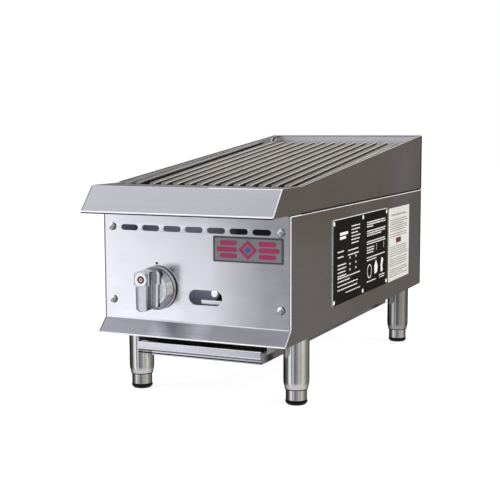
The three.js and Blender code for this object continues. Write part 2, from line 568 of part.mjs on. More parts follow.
for (const [name, side] of sides) {
  const railBottom = rimBottom - GAP;
  const inside = TRAY_RIGHT + 0.6;
  addPart(cabinet, `${name}_tray_rail`, join(
    block(side * RAIL_X, side * (RAIL_X + SHEET), 20, 610, railBottom - SHEET, -GAP),
    block(side * 92, side * (RAIL_X + 0.5), 20, 610, -GAP - SHEET, -GAP),
    block(side * inside, side * (RAIL_X + 0.5), 20, 610, railBottom - SHEET, railBottom)), aluminised);
}

// ---------- plates ----------
addPart(cabinet, 'name_badge', block(31.5, 141.5, -1.3, -GAP, 116, 153.5), badgeMetal);
const RIVETS = [[172, 36], [172, 159], [311, 36], [311, 159], [440, 36], [440, 159]];
const plateFace = HALF + GAP + 0.9;
addPart(cabinet, 'data_plate', join(
  block(HALF + GAP, plateFace, 167, 445, 30, 165),
  ...RIVETS.map(([y, z]) => alongX(circle(y, z, 2.6), HALF + GAP + 0.2, plateFace + 0.8))), blackPlate);
addPart(cabinet, 'side_label', block(HALF + GAP, HALF + GAP + 0.4, 455, 583, 30, 162), whiteLabel);

export default charbroiler;
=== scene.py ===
import json
import math
import random

import bmesh
import bpy
from mathutils import Matrix, Vector, noise


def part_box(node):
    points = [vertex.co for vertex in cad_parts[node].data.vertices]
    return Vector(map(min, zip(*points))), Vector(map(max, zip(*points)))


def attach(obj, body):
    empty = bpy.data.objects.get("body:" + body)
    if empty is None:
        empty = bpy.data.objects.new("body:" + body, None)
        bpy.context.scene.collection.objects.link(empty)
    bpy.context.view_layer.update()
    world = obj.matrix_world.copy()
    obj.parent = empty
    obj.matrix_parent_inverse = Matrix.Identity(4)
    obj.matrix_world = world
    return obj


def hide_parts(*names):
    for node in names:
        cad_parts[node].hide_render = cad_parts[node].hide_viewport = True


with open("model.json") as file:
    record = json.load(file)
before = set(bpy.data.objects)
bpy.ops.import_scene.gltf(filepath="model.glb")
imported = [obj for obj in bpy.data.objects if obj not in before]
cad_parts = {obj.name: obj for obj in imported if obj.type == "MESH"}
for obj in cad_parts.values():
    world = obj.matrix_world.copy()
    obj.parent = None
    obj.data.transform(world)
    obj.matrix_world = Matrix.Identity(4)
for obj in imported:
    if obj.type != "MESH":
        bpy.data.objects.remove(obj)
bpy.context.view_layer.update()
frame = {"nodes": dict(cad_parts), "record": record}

# ---------- the cabinet frame ----------
# Sizes below are in millimetres in the cabinet frame: y = 0 is the face of the control panel,
# z = 0 the lower edge of the side panels. CAB turns them into the row frame, in metres.
ORIGIN = (0.0, 1000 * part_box("control_panel")[0][1], 1000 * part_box("left_side_panel")[0][2])
CAB = Matrix.Scale(0.001, 4) @ Matrix.Translation([round(c, 2) for c in ORIGIN])


def spans(node):
    """A CAD node's box at rest in the cabinet frame: its ends in x, in y and in z."""
    corners = [CAB.inverted() @ Vector(corner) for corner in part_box(node)]
    return [tuple(round(c, 2) for c in ends) for ends in zip(*corners)]


def middle(node):
    return [sum(ends) / 2 for ends in spans(node)]


PANEL_ENDS, PANEL_DEPTH, PANEL_HEIGHTS = spans("control_panel")
FIT = PANEL_ENDS[1]  # half the width between the side panels
SHEET = PANEL_DEPTH[1]

# ---------- camera ----------
CAMERA_AT = (0.72319, -1.70179, 0.41476)
YAW, PITCH, ROLL = 24.5226, 6.6775, -0.2279
LENS = 77.847


def make_camera():
    yaw, pitch, roll = map(math.radians, (YAW, PITCH, ROLL))
    forward = Vector((-math.sin(yaw) * math.cos(pitch), math.cos(yaw) * math.cos(pitch), -math.sin(pitch)))
    right = Vector((math.cos(yaw), math.sin(yaw), 0))
    up = right.cross(forward)
    x_axis = math.cos(roll) * right + math.sin(roll) * up
    y_axis = -math.sin(roll) * right + math.cos(roll) * up
    data = bpy.data.cameras.new("camera")
    data.lens = LENS
    data.sensor_width = 36
    camera = bpy.data.objects.new("camera", data)
    turn = Matrix((x_axis, y_axis, -forward)).transposed().to_4x4()
    camera.matrix_world = Matrix.Translation(CAMERA_AT) @ turn
    bpy.context.scene.collection.objects.link(camera)
    bpy.context.scene.camera = camera


make_camera()


# ---------- materials ----------
class ShaderTree:
    """Adds nodes to a shader tree with short calls."""

    def __init__(self, tree):
        self.tree = tree

    def add(self, kind, inputs=None, **settings):
        node = self.tree.nodes.new(kind)
        for key, value in settings.items():
            setattr(node, key, value)
        for key, value in (inputs or {}).items():
            self.put(node.inputs[key], value)
        return node

    def put(self, socket, value):
        if isinstance(value, bpy.types.NodeSocket):
            self.tree.links.new(value, socket)
        else:
            socket.default_value = (*value, 1.0) if socket.type == "RGBA" else value

    def span(self, value, low, high, to_low=0.0, to_high=1.0, **settings):
        return self.add("ShaderNodeMapRange", {
            "Value": value, "From Min": low, "From Max": high, "To Min": to_low, "To Max": to_high,
        }, **settings).outputs["Result"]

    def math(self, operation, a, b):
        return self.add("ShaderNodeMath", {0: a, 1: b}, operation=operation).outputs[0]

    def blend(self, factor, a, b):
        mix = self.add("ShaderNodeMix", {"Factor": factor}, data_type="RGBA")
        colours = [s for s in mix.inputs if s.type == "RGBA"]
        self.put(colours[0], a)
        self.put(colours[1], b)
        return [s for s in mix.outputs if s.type == "RGBA"][0]


class Nodes(ShaderTree):
    """A new material, with short calls for the nodes of its surface."""

    def __init__(self, name):
        self.material = bpy.data.materials.new(name)
        self.material.use_nodes = True
        super().__init__(self.material.node_tree)
        self.shader = self.tree.nodes["Principled BSDF"]

    def coords(self, scale=(1, 1, 1)):
        place = self.add("ShaderNodeTexCoord").outputs["Object"]
        return self.add("ShaderNodeMapping", {"Vector": place, "Scale": scale}).outputs["Vector"]

    def along(self, axis):
        return self.add("ShaderNodeSeparateXYZ", {"Vector": self.coords()}).outputs[axis]

    def noise(self, scale, detail=3.0, roughness=0.5, stretch=(1, 1, 1)):
        return self.add("ShaderNodeTexNoise", {
            "Vector": self.coords(stretch), "Scale": scale, "Detail": detail, "Roughness": roughness,
        }).outputs["Fac"]

    def bump(self, height, strength, distance, over=None):
        node = self.add("ShaderNodeBump", {"Height": height, "Strength": strength, "Distance": distance})
        if over is not None:
            self.put(node.inputs["Normal"], over)
        return node.outputs["Normal"]

    def set(self, **values):
        for key, value in values.items():
            self.put(self.shader.inputs[key.replace("_", " ")], value)
        return self.material


def scaled(colour, share):
    return [min(1.0, share * c) for c in colour]


SOFT_EDGE = 0.012


def brushed(name, light, dark, rough, grain, metallic=1.0, blotch=0.05, wave=0.5, lines=0.35,
            dusk=None, pale=None):
    """Brushed sheet: fine grain along one axis, soft clouds of handling, a slightly wavy surface.

    blotch is how far the roughness varies, wave the sheet's swell and lines the strength of the grain.
    With dusk = (from x, to x, share) the colour darkens from one x to the other, a painted shade;
    with pale = (from x, to x, share) a soft-edged stretch between them is lighter, a painted highlight.
    """
    n = Nodes(name)
    stretch = {"X": (0.02, 1, 1), "Y": (1, 0.02, 1)}[grain]
    fine = n.noise(900, 3, 0.6, stretch)
    streak = n.noise(150, 3, 0.6, stretch)
    cloud = n.noise(5, 2)
    smear = n.noise(26, 4, 0.6)
    tone = n.math("ADD", n.span(streak, 0.3, 0.7, 0, lines), n.span(cloud, 0.3, 0.7, 0, 1 - lines))
    rough_cloud = n.span(cloud, 0.3, 0.7, rough - blotch, rough + blotch)
    rough_all = n.math("ADD", rough_cloud, n.span(smear, 0.35, 0.7, -0.02, 0.03))
    swell = n.bump(n.noise(5.5, 1, 0.4), 1.0, 0.001 * wave)
    grooves = n.bump(n.math("ADD", fine, streak), 0.1 * lines, 0.0001, over=swell)
    colour = n.blend(tone, dark, light)
    if dusk:
        start, end, share = dusk
        waver = n.span(cloud, 0.3, 0.7, -SOFT_EDGE, SOFT_EDGE)
        shade_mask = n.span(n.math("ADD", n.along("X"), waver), start, end)
        colour = n.blend(shade_mask, colour, scaled(dark, share))
    if pale:
        start, end, share = pale
        rising = n.span(n.along("X"), start - SOFT_EDGE, start + SOFT_EDGE)
        falling = n.span(n.along("X"), end - SOFT_EDGE, end + SOFT_EDGE, 1.0, 0.0)
        inside = n.math("MULTIPLY", rising, falling)
        brighten = n.math("MULTIPLY", inside, n.span(streak, 0.2, 0.6, 0.5, 1.0))
        colour = n.blend(brighten, colour, scaled(light, share))
    return n.set(
        Base_Color=colour,
        Metallic=metallic,
        Roughness=n.math("ADD", rough_all, n.span(fine, 0.3, 0.7, -0.02, 0.02)),
        Normal=grooves)


def plated(name, colour, rough, worn, metallic=1.0):
    """Polished plating with faint pits and hazy patches."""
    n = Nodes(name)
    haze = n.noise(30, 4, 0.6)
    pits = n.noise(420, 2)
    return n.set(
        Base_Color=n.blend(n.span(haze, 0.35, 0.7), colour, worn),
        Metallic=metallic,
        Roughness=n.span(haze, 0.3, 0.7, rough, rough + 0.09),
        Normal=n.bump(pits, 0.05, 0.0003))


def cast(name, dark, light, rough, grit, metallic, brighten=1.0):
    """Bare casting: grainy skin with darker and lighter patches at random; the last argument, above 1, makes
    its rear part lighter.
    """
    n = Nodes(name)
    skin = n.noise(grit, 6, 0.65)
    patch = n.noise(38, 4, 0.6)
    tone = n.math("MULTIPLY", n.span(skin, 0.3, 0.72), n.span(patch, 0.25, 0.65, 0.55, 1.0))
    colour = n.blend(tone, dark, light)
    if brighten > 1:
        rear = n.span(n.along("Y"), -0.17, -0.02)
        colour = n.blend(rear, colour, n.blend(tone, scaled(dark, brighten), scaled(light, brighten)))
    return n.set(
        Base_Color=colour,
        Metallic=metallic,
        Roughness=n.span(patch, 0.3, 0.7, rough - 0.1, rough + 0.12),
        Normal=n.bump(skin, 0.55, 0.0008))


def painted(name, colour, other, rough, grain, height, metallic=0.0, specular=0.5):
    """Paint, rubber or print: two close tones in patches under fine specks, height metres deep."""
    n = Nodes(name)
    speck = n.noise(grain, 4, 0.6)
    patch = n.noise(18)
    return n.set(
        Base_Color=n.blend(n.span(patch, 0.3, 0.7), colour, other),
        Metallic=metallic,
        Specular_IOR_Level=specular,
        Roughness=n.span(speck, 0.3, 0.7, rough - 0.06, rough + 0.06),
        Normal=n.bump(speck, 0.25, height))


# The lighter stretch across the apron is a painted highlight.
APRON_STEEL = brushed("brushed_steel_apron", (0.55, 0.55, 0.59), (0.50, 0.50, 0.54), 0.34, "X",
                      blotch=0.03, pale=(-0.062, 0.022, 1.5))
# The control panel's face darkens towards its right: painted shade.
FACE_STEEL = brushed("brushed_steel_face", (0.80, 0.80, 0.83), (0.76, 0.76, 0.79), 0.21, "X",
                     blotch=0.02, wave=0.3, lines=0.2, dusk=(0.028, 0.118, 0.67))
PANEL_STEEL = brushed("brushed_steel_front", (0.76, 0.76, 0.79), (0.70, 0.70, 0.73), 0.19, "X")
SIDE_STEEL = brushed("brushed_steel_side", (0.74, 0.745, 0.83), (0.62, 0.55, 0.475), 0.17, "Y",
                     blotch=0.03, wave=1.7, lines=0.15)
LEFT_STEEL = brushed("brushed_steel_left", (0.73, 0.735, 0.79), (0.65, 0.62, 0.595), 0.17, "Y",
                     blotch=0.03, wave=1.7, lines=0.15)
GUARD_STEEL = brushed("brushed_steel_guard", (0.90, 0.885, 0.915), (0.83, 0.815, 0.845), 0.36, "X",
                      blotch=0.03)
TRAY_STEEL = brushed("brushed_steel_tray", (0.62, 0.62, 0.66), (0.54, 0.54, 0.58), 0.20, "X")
DULL_STEEL = brushed("aluminised_steel", (0.50, 0.48, 0.46), (0.36, 0.345, 0.33), 0.48, "Y", 0.55)
# The liner behind the vents darkens towards its right: painted shade.
LINER_STEEL = brushed("liner_steel", (0.66, 0.67, 0.80), (0.58, 0.59, 0.71), 0.5, "X", 0.3,
                      lines=0.2, dusk=(-0.06, 0.03, 0.06))
SHADE_SHEET = brushed("painted_shade_sheet", (0.20, 0.205, 0.25), (0.13, 0.135, 0.17), 0.5, "X", 0.3)
CHROME = plated("polished_chrome", (0.62, 0.62, 0.62), 0.03, (0.55, 0.54, 0.52))
# The rear legs' darker chrome is painted shade.
SHADED_CHROME = plated("rear_leg_painted_shade", (0.36, 0.352, 0.345), 0.05, (0.29, 0.282, 0.275))
NICKEL = plated("satin_nickel", (0.56, 0.55, 0.54), 0.14, (0.46, 0.45, 0.43))
KNOB_CHROME = plated("knob_chrome", (0.52, 0.53, 0.56), 0.06, (0.42, 0.43, 0.46))
# Lit and shaded copies of the knob's chrome: the flank, hollow and groove steels paint shade, the bright face
# paints a highlight.
KNOB_FLANK = plated("knob_flank_painted_shade", (0.40, 0.40, 0.43), 0.14, (0.31, 0.31, 0.335), 0.9)
KNOB_HIGHLIGHT = plated("knob_painted_highlight", (0.90, 0.93, 1.0), 0.26, (0.80, 0.83, 0.90), 0.3)
KNOB_SHADE = plated("painted_shade_chrome", (0.20, 0.20, 0.215), 0.22, (0.13, 0.13, 0.14))
KNOB_DARK = plated("painted_groove_shade_and_inlay", (0.035, 0.035, 0.037), 0.35, (0.02, 0.02, 0.022))
# Near-white, partly diffuse steels for bright small parts and painted highlights along hems, edges and the
# corner tab.
EDGE_STEEL = plated("bright_edge_painted_highlight", (0.94, 0.94, 0.95), 0.30, (0.84, 0.84, 0.86), 0.45)
TAB_BRIGHT = plated("bright_tab_painted_highlight", (0.97, 0.97, 0.97), 0.45, (0.92, 0.92, 0.92), 0.1)
# Near-black paint for gaps, slits, outlines and the disc behind the knob: painted shade.
GAP_SHADE = painted("painted_gap_shade", (0.012, 0.011, 0.012), (0.022, 0.020, 0.020), 0.6, 300, 0.0001,
                     specular=0.05)
CAST_IRON = cast("seasoned_cast_iron", (0.13, 0.122, 0.108), (0.54, 0.512, 0.47), 0.46, 700.0, 0.5, 1.3)
# The bars' rims carry a painted highlight over their wear, their flanks a painted shade.
CAST_RIM = cast("worn_rim_and_painted_highlight", (0.56, 0.54, 0.50), (0.96, 0.94, 0.90), 0.36, 900.0, 0.25, 1.3)
CAST_FLANK = cast("painted_shade_cast_flank", (0.030, 0.027, 0.024), (0.11, 0.10, 0.09), 0.55, 900.0, 0.4, 1.8)
RADIANT_IRON = cast("radiant_cast_iron", (0.03, 0.028, 0.026), (0.10, 0.095, 0.09), 0.7, 500.0, 0.3)
PIPE = painted("black_pipe", (0.03, 0.03, 0.032), (0.06, 0.058, 0.06), 0.45, 300, 0.0002, 0.5)
BRASS = plated("machined_brass", (0.66, 0.50, 0.24), 0.26, (0.50, 0.37, 0.18))
RUBBER = painted("foot_rubber", (0.003, 0.003, 0.003), (0.007, 0.0065, 0.0065), 0.55, 700, 0.0002,
                 specular=0.12)
PLATE_BLACK = painted("plate_black", (0.010, 0.0085, 0.0075), (0.016, 0.0135, 0.012), 0.5, 260, 0.00005,
                      specular=0.03)
PRINT_LIGHT = painted("print_light", (0.86, 0.85, 0.82), (0.74, 0.73, 0.70), 0.6, 500, 0.00003)
LABEL_PAPER = painted("label_paper", (0.70, 0.69, 0.665), (0.62, 0.61, 0.59), 0.55, 300, 0.00005)
LABEL_GREY = painted("label_print", (0.22, 0.21, 0.20), (0.16, 0.155, 0.15), 0.6, 500, 0.00003)
LABEL_RED = painted("label_red", (0.16, 0.026, 0.018), (0.11, 0.020, 0.015), 0.55, 500, 0.00003)
BADGE_FACE = cast("badge_face", (0.19, 0.195, 0.205), (0.38, 0.385, 0.40), 0.5, 1500.0, 0.8)
BADGE_ENAMEL = painted("badge_enamel", (0.33, 0.010, 0.085), (0.24, 0.007, 0.060), 0.35, 300, 0.00004)
BADGE_BLUE = painted("badge_blue", (0.05, 0.06, 0.26), (0.035, 0.045, 0.2), 0.35, 300, 0.00004)
BADGE_BORDER = painted("badge_border", (0.07, 0.072, 0.08), (0.11, 0.112, 0.12), 0.45, 400, 0.00005, 0.7)
DOT_BLACK = painted("dot_black", (0.006, 0.006, 0.006), (0.012, 0.012, 0.012), 0.5, 600, 0.00003)

SLOT_LOOK = {
    "stainless_sheet": PANEL_STEEL, "aluminised_sheet": DULL_STEEL, "leg_chrome": CHROME,
    "grate_iron": CAST_IRON, "pipe_steel": PIPE, "valve_brass": BRASS, "foot_rubber": RUBBER,
    "plate_black": PLATE_BLACK, "label_white": LABEL_PAPER, "badge_metal": BADGE_FACE,
}
# Seen through the lighting port: the pilot valve darkened with painted shade, its screw lit with a painted
# highlight.
NODE_LOOK = {"pilot_valve": KNOB_SHADE, "pilot_screw": EDGE_STEEL}


# ---------- mesh helpers ----------
def piece(name, bm, material, body, stands_for=(), sharp=38.0, weighted=True, extra=()):
    """Turns a finished bmesh, in row-frame metres, into a piece that rides on a body."""
    bmesh.ops.recalc_face_normals(bm, faces=bm.faces)
    mesh = bpy.data.meshes.new(name)
    bm.to_mesh(mesh)
    bm.free()
    mesh.shade_smooth()
    mesh.set_sharp_from_angle(angle=math.radians(sharp))
    for look in (material, *extra):
        mesh.materials.append(look)
    made = bpy.data.objects.new(name, mesh)
    bpy.context.scene.collection.objects.link(made)
    if weighted:
        modifier = made.modifiers.new("flat_faces", "WEIGHTED_NORMAL")
        modifier.keep_sharp = True
    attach(made, body)
    if stands_for:
        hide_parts(*stands_for)
    return made


def bevel(bm, edges, width, segments):
    if edges:
        bmesh.ops.bevel(bm, geom=edges, offset=width, offset_type="OFFSET", segments=segments,
                        profile=0.5, affect="EDGES", clamp_overlap=True, loop_slide=True)


def sharp_edges(bm, degrees):
    limit = math.radians(degrees)
    return [e for e in bm.edges if len(e.link_faces) == 2 and e.calc_face_angle(0) > limit]


BEND_LENGTH = 120.0


def refined(node, name, material, edge, bends=0.0, body="cabinet"):
    """A CAD node's shape with rounded edges; long outer bends may be rounder than the rest."""
    bm = bmesh.new()
    bm.from_mesh(frame["nodes"][node].data)
    bmesh.ops.remove_doubles(bm, verts=bm.verts, dist=2e-6)
    bmesh.ops.dissolve_limit(bm, angle_limit=math.radians(0.5), verts=bm.verts, edges=bm.edges)
    if bends:
        long_bends = [e for e in sharp_edges(bm, 20)
                      if e.is_convex and e.calc_length() > BEND_LENGTH / 1000]
        bevel(bm, long_bends, bends / 1000, 5)
    if edge:
        bevel(bm, sharp_edges(bm, 40), edge / 1000, 2)
    return piece(name, bm, material, body, (node,))


def fillet(points, radius, steps=4, closed=False):
    """Rounds the corners of a flat outline; radius may be one number or one for each point."""
    count = len(points)
    radii = radius if isinstance(radius, (list, tuple)) else [radius] * count
    out = []
    for i, p in enumerate(points):
        here = Vector(p)
        if not closed and i in (0, count - 1) or radii[i] <= 0:
            out.append(here)
            continue
        before = Vector(points[i - 1]) - here
        after = Vector(points[(i + 1) % count]) - here
        reach = min(radii[i], 0.49 * before.length, 0.49 * after.length)
        start, end = here + before.normalized() * reach, here + after.normalized() * reach
        for k in range(steps + 1):
            t = k / steps
            out.append((1 - t) ** 2 * start + 2 * t * (1 - t) * here + t * t * end)
    return out


def lathe(name, profile, at, axis, material, body, stands_for=(), segments=72, sharp=38.0):
    """A turned piece; the profile is a list of (radius, place along the axis)."""
    bm = bmesh.new()
    rings = []
    for radius, along in profile:
        round_it = ring_points(*at, radius, segments) if radius > 0 else [at]
        spots = [(u, v, along) if axis == "Z" else (u, along, v) for u, v in round_it]
        rings.append([bm.verts.new(CAB @ Vector(spot)) for spot in spots])
    for low, high in zip(rings, rings[1:]):
        for k in range(segments):
            nxt = k + 1
            corners = [low[k % len(low)], low[nxt % len(low)], high[nxt % len(high)], high[k % len(high)]]
            unique = list(dict.fromkeys(corners))
            if len(unique) > 2:
                bm.faces.new(unique)
    return piece(name, bm, material, body, stands_for, sharp)


def loft(bm, sections, looks=None):
    """Skins a list of closed loops that have equal numbers of points; looks picks each row's material."""
    loops = [[bm.verts.new(p) for p in section] for section in sections]
    for low, high in zip(loops, loops[1:]):
        for k in range(len(low)):
            nxt = (k + 1) % len(low)
            face = bm.faces.new((low[k], low[nxt], high[nxt], high[k]))
            if looks:
                face.material_index = looks[k]
    bm.faces.new(loops[0])
    bm.faces.new(loops[-1])


def crosswise(reach, y, z):
    """A line from the left to the right, ending at reach from the middle."""
    return [(-reach, y, z), (reach, y, z)]


def bead(name, points, radius, material, body="cabinet"):
    """A thin round bead along a line of points, such as a hemmed edge."""
    bm = bmesh.new()
    spokes = 10
    path = [Vector(p) for p in points]
    sections = []
    for i, here in enumerate(path):
        before = (here - path[i - 1]).normalized() if i else (path[1] - here).normalized()
        after = (path[i + 1] - here).normalized() if i + 1 < len(path) else before
        along = (before + after).normalized()
        aside = along.orthogonal() if abs(along.x) > 0.9 else along.cross(Vector((1, 0, 0)))
        aside.normalize()
        other = along.cross(aside)
        sections.append([CAB @ (here + u * aside + v * other) for u, v in ring_points(0, 0, radius, spokes)])
    loft(bm, sections)
    return piece(name, bm, material, body, sharp=60, weighted=False)


def plate_mesh(outline, holes, thickness, edge):
    """A flat plate with holes and rounded edges, from z = 0 to z = thickness, in millimetres."""
    curve = bpy.data.curves.new("plate", "CURVE")
    curve.dimensions = "2D"
    curve.fill_mode = "BOTH"
    curve.extrude = thickness / 2 - edge
    curve.bevel_depth = edge
    curve.bevel_resolution = 1
    curve.offset = -edge
    for loop in [outline, *holes]:
        spline = curve.splines.new("POLY")
        spline.points.add(len(loop) - 1)
        for point, (u, v) in zip(spline.points, loop):
            point.co = (u, v, 0, 1)
        spline.use_cyclic_u = True
    holder = bpy.data.objects.new("plate", curve)
    bpy.context.scene.collection.objects.link(holder)
    mesh = bpy.data.meshes.new_from_object(holder.evaluated_get(bpy.context.evaluated_depsgraph_get()))
    bpy.data.objects.remove(holder)
    bpy.data.curves.remove(curve)
    bm = bmesh.new()
    bm.from_mesh(mesh)
    bpy.data.meshes.remove(mesh)
    bmesh.ops.remove_doubles(bm, verts=bm.verts, dist=1e-3)
    bmesh.ops.translate(bm, verts=bm.verts, vec=(0, 0, thickness / 2))
    return bm


def facing_front(y):
    """Plate coordinates (u, v, w) to the row frame: u along X, v along Z, w towards -Y from y."""
    turn = Matrix(((1, 0, 0, 0), (0, 0, -1, y), (0, 1, 0, 0), (0, 0, 0, 1)))
    return CAB @ turn


def facing_right(x):
    """Plate coordinates (u, v, w) to the row frame: u along Y, v along Z, w towards +X from x."""
    turn = Matrix(((0, 0, 1, x), (1, 0, 0, 0), (0, 1, 0, 0), (0, 0, 0, 1)))
    return CAB @ turn


def stadium(u, v, length, height, steps=14):
    radius = height / 2
    reach = length / 2 - radius
    loop = []
    for side in (1, -1):
        for k in range(steps + 1):
            angle = -math.pi / 2 + math.pi * k / steps + (0 if side > 0 else math.pi)
            loop.append((u + side * reach + radius * math.cos(angle), v + radius * math.sin(angle)))
    return loop


def ring_points(u, v, radius, count=28):
    return [(u + radius * math.cos(2 * math.pi * k / count), v + radius * math.sin(2 * math.pi * k / count))
            for k in range(count)]


def rectangle(u0, u1, v0, v1, radius=0.0, steps=4):
    corners = [(u0, v0), (u1, v0), (u1, v1), (u0, v1)]
    return fillet(corners, radius, steps, True) if radius else corners


def skin_cap(bm, tip, rings):
    """Faces from a point over rings of vertices, closed at the last ring."""
    previous = None
    for ring in rings:
        for k in range(len(ring)):
            nxt = (k + 1) % len(ring)
            bm.faces.new((tip, ring[k], ring[nxt]) if previous is None else
                         (previous[k], ring[k], ring[nxt], previous[nxt]))
        previous = ring
    bm.faces.new(previous)


def clamp(t):
    return max(0.0, min(1.0, t))


# ---------- sheet metal ----------
for node, name, look, edge, bends in (
    ("left_side_panel", "left_side_sheet", LEFT_STEEL, 0.5, 1.35),
    ("right_side_panel", "right_side_sheet", SIDE_STEEL, 0.5, 1.35),
    ("left_splash_guard", "left_guard_sheet", LEFT_STEEL, 0.4, 1.0),
    ("right_splash_guard", "right_guard_sheet", SIDE_STEEL, 0.4, 1.0),
    ("back_splash_guard", "back_guard_sheet", GUARD_STEEL, 0.4, 1.0),
    ("back_panel", "back_sheet", PANEL_STEEL, 0.3, 0.0),
    ("front_lip", "front_lip_sheet", PANEL_STEEL, 0.5, 1.6),
    ("front_apron", "front_apron_sheet", APRON_STEEL, 0.5, 1.2),
    ("grease_trough", "grease_trough_sheet", SIDE_STEEL, 0.3, 1.2),
):
    refined(node, name, look, edge, bends)
refined("bottom_pan", "bottom_pan_sheet", DULL_STEEL, 0.3)
refined("drip_tray", "drip_tray_sheet", TRAY_STEEL, 0.35, 0.9, "tray")

VENTS = [stadium(36.0 * i, 160.5, 28.5, 8.5) for i in range(-3, 4)]
PORT = stadium(17.9, 61.4, 54, 22.5, 22)
SCREW_SPOTS = [middle(f"panel_screw_{k}")[::2] for k in (1, 2, 3, 4)]
KNOB_X, KNOB_Z = middle("control_knob")[::2]
STEM_HOLE = ring_points(KNOB_X, KNOB_Z, 7)
SCREW_HOLES = [ring_points(x, z, 2.4, 16) for x, z in SCREW_SPOTS]

panel_bm = plate_mesh(rectangle(*PANEL_ENDS, *PANEL_HEIGHTS), [*VENTS, PORT, STEM_HOLE, *SCREW_HOLES],
                      SHEET, 0.45)
bmesh.ops.transform(panel_bm, verts=panel_bm.verts, matrix=facing_front(SHEET))
piece("control_panel_sheet", panel_bm, FACE_STEEL, "cabinet", ("control_panel",))

# Hemmed edges, gaps and outlines of the sheets, the bright beads painted highlights and the dark ones painted
# shade: name, line, radius, material.
for name, points, radius, look in (
    ("lip_lower_hem", crosswise(152.3, -62.4, 187.7), 1.25, EDGE_STEEL),
    ("lip_lower_shadow", crosswise(152.3, -62.2, 185.8), 0.95, KNOB_DARK),
    ("lip_right_hem", [(152.1, -62.0, 188.2), (152.1, -31.4, 223.3)], 0.85, EDGE_STEEL),
    ("lip_left_hem", [(-152.2, -62.0, 188.2), (-152.2, -31.4, 223.3)], 0.7, KNOB_SHADE),
    ("lip_top_painted_highlight", [(40, -31.0, 223.5), (151.5, -31.0, 223.5)], 0.85, EDGE_STEEL),
    ("lip_top_hem", [(-151.5, -31.0, 223.45), (40.5, -31.0, 223.45)], 0.7, TRAY_STEEL),
    ("apron_lower_hem", crosswise(152.2, -20.4, 2.1), 1.1, EDGE_STEEL),
    ("apron_top_crease", crosswise(150.5, -0.3, 22.7), 0.8, EDGE_STEEL),
    ("apron_right_hem", [(152.1, -20.3, 2.4), (152.1, -0.5, 21.9)], 0.7, EDGE_STEEL),
    ("apron_left_hem", [(-152.1, -20.3, 2.4), (-152.1, -0.5, 21.9)], 0.6, KNOB_SHADE),
    ("right_front_corner", [(152.0, 0.4, 22.8), (152.0, 0.4, 184.0)], 0.75, TAB_BRIGHT),
    ("right_seam_edge", [(152.2, 1.0, 183.8), (152.2, 663.4, 183.8)], 0.75, TAB_BRIGHT),
    ("right_seam_gap", [(152.3, 40.0, 185.4), (152.3, 330.0, 186.0), (152.3, 662.0, 186.2)], 1.5, GAP_SHADE),
    ("right_rear_outline", [(151.6, 664.2, 1.5), (151.6, 664.2, 183.0)], 1.6, GAP_SHADE),
    ("right_rear_gap", [(151.8, 664.0, 187.0), (151.8, 664.0, 287.5)], 1.7, GAP_SHADE),
    ("left_front_corner", [(-152.1, 0.4, 22.8), (-152.1, 0.4, 184.0)], 0.7, KNOB_SHADE),
    ("left_seam_edge", [(-152.2, 1.0, 183.9), (-152.2, 663.4, 183.9)], 0.7, EDGE_STEEL),
    ("right_guard_hem", [(151.7, -30.0, 223.8), (151.7, 42.2, 223.8), (151.7, 663.2, 289.1)],
     0.8, EDGE_STEEL),
    ("left_guard_hem", [(-151.7, 46.0, 225.0), (-151.7, 655.0, 289.0)], 1.05, KNOB_SHADE),
    ("right_guard_inner_hem", [(146.2, -20.0, 223.7), (146.2, 42.2, 224.2), (146.2, 652, 288.2)],
     0.55, EDGE_STEEL),
    ("right_guard_hem_groove", [(148.8, -20.0, 222.8), (148.8, 42.2, 222.9), (148.8, 652, 287.1)],
     2.1, KNOB_SHADE),
    ("back_guard_hem", crosswise(150.2, 663.1, 289.2), 0.7, KNOB_SHADE),
):
    bead(name, points, radius, look)

# Edges of the pull along the front of the drip tray: the bright ones painted highlights, the dark ones
# painted shade.
PULL_END = 102.2
for name, points, radius, look in (
    ("pull_top_edge", crosswise(PULL_END, 8.5, -14.0), 0.85, EDGE_STEEL),
    ("pull_lower_crease", crosswise(PULL_END, 8.2, -23.1), 0.65, EDGE_STEEL),
    ("pull_groove", crosswise(PULL_END, 9.0, -25.6), 0.6, KNOB_SHADE),
    ("pull_curl_edge", crosswise(PULL_END + 0.4, 11.4, -30.5), 1.15, KNOB_DARK),
    ("pull_right_outline", [(PULL_END + 0.1, y, z) for y, z in ((8.4, -14.2), (8.4, -23.0), (9.4, -26.0),
                                                               (11.8, -28.2))], 0.5, KNOB_SHADE),
):
    bead(name, points, radius, look, "tray")


# ---------- screws ----------
HEAD_RADIUS = 6.0


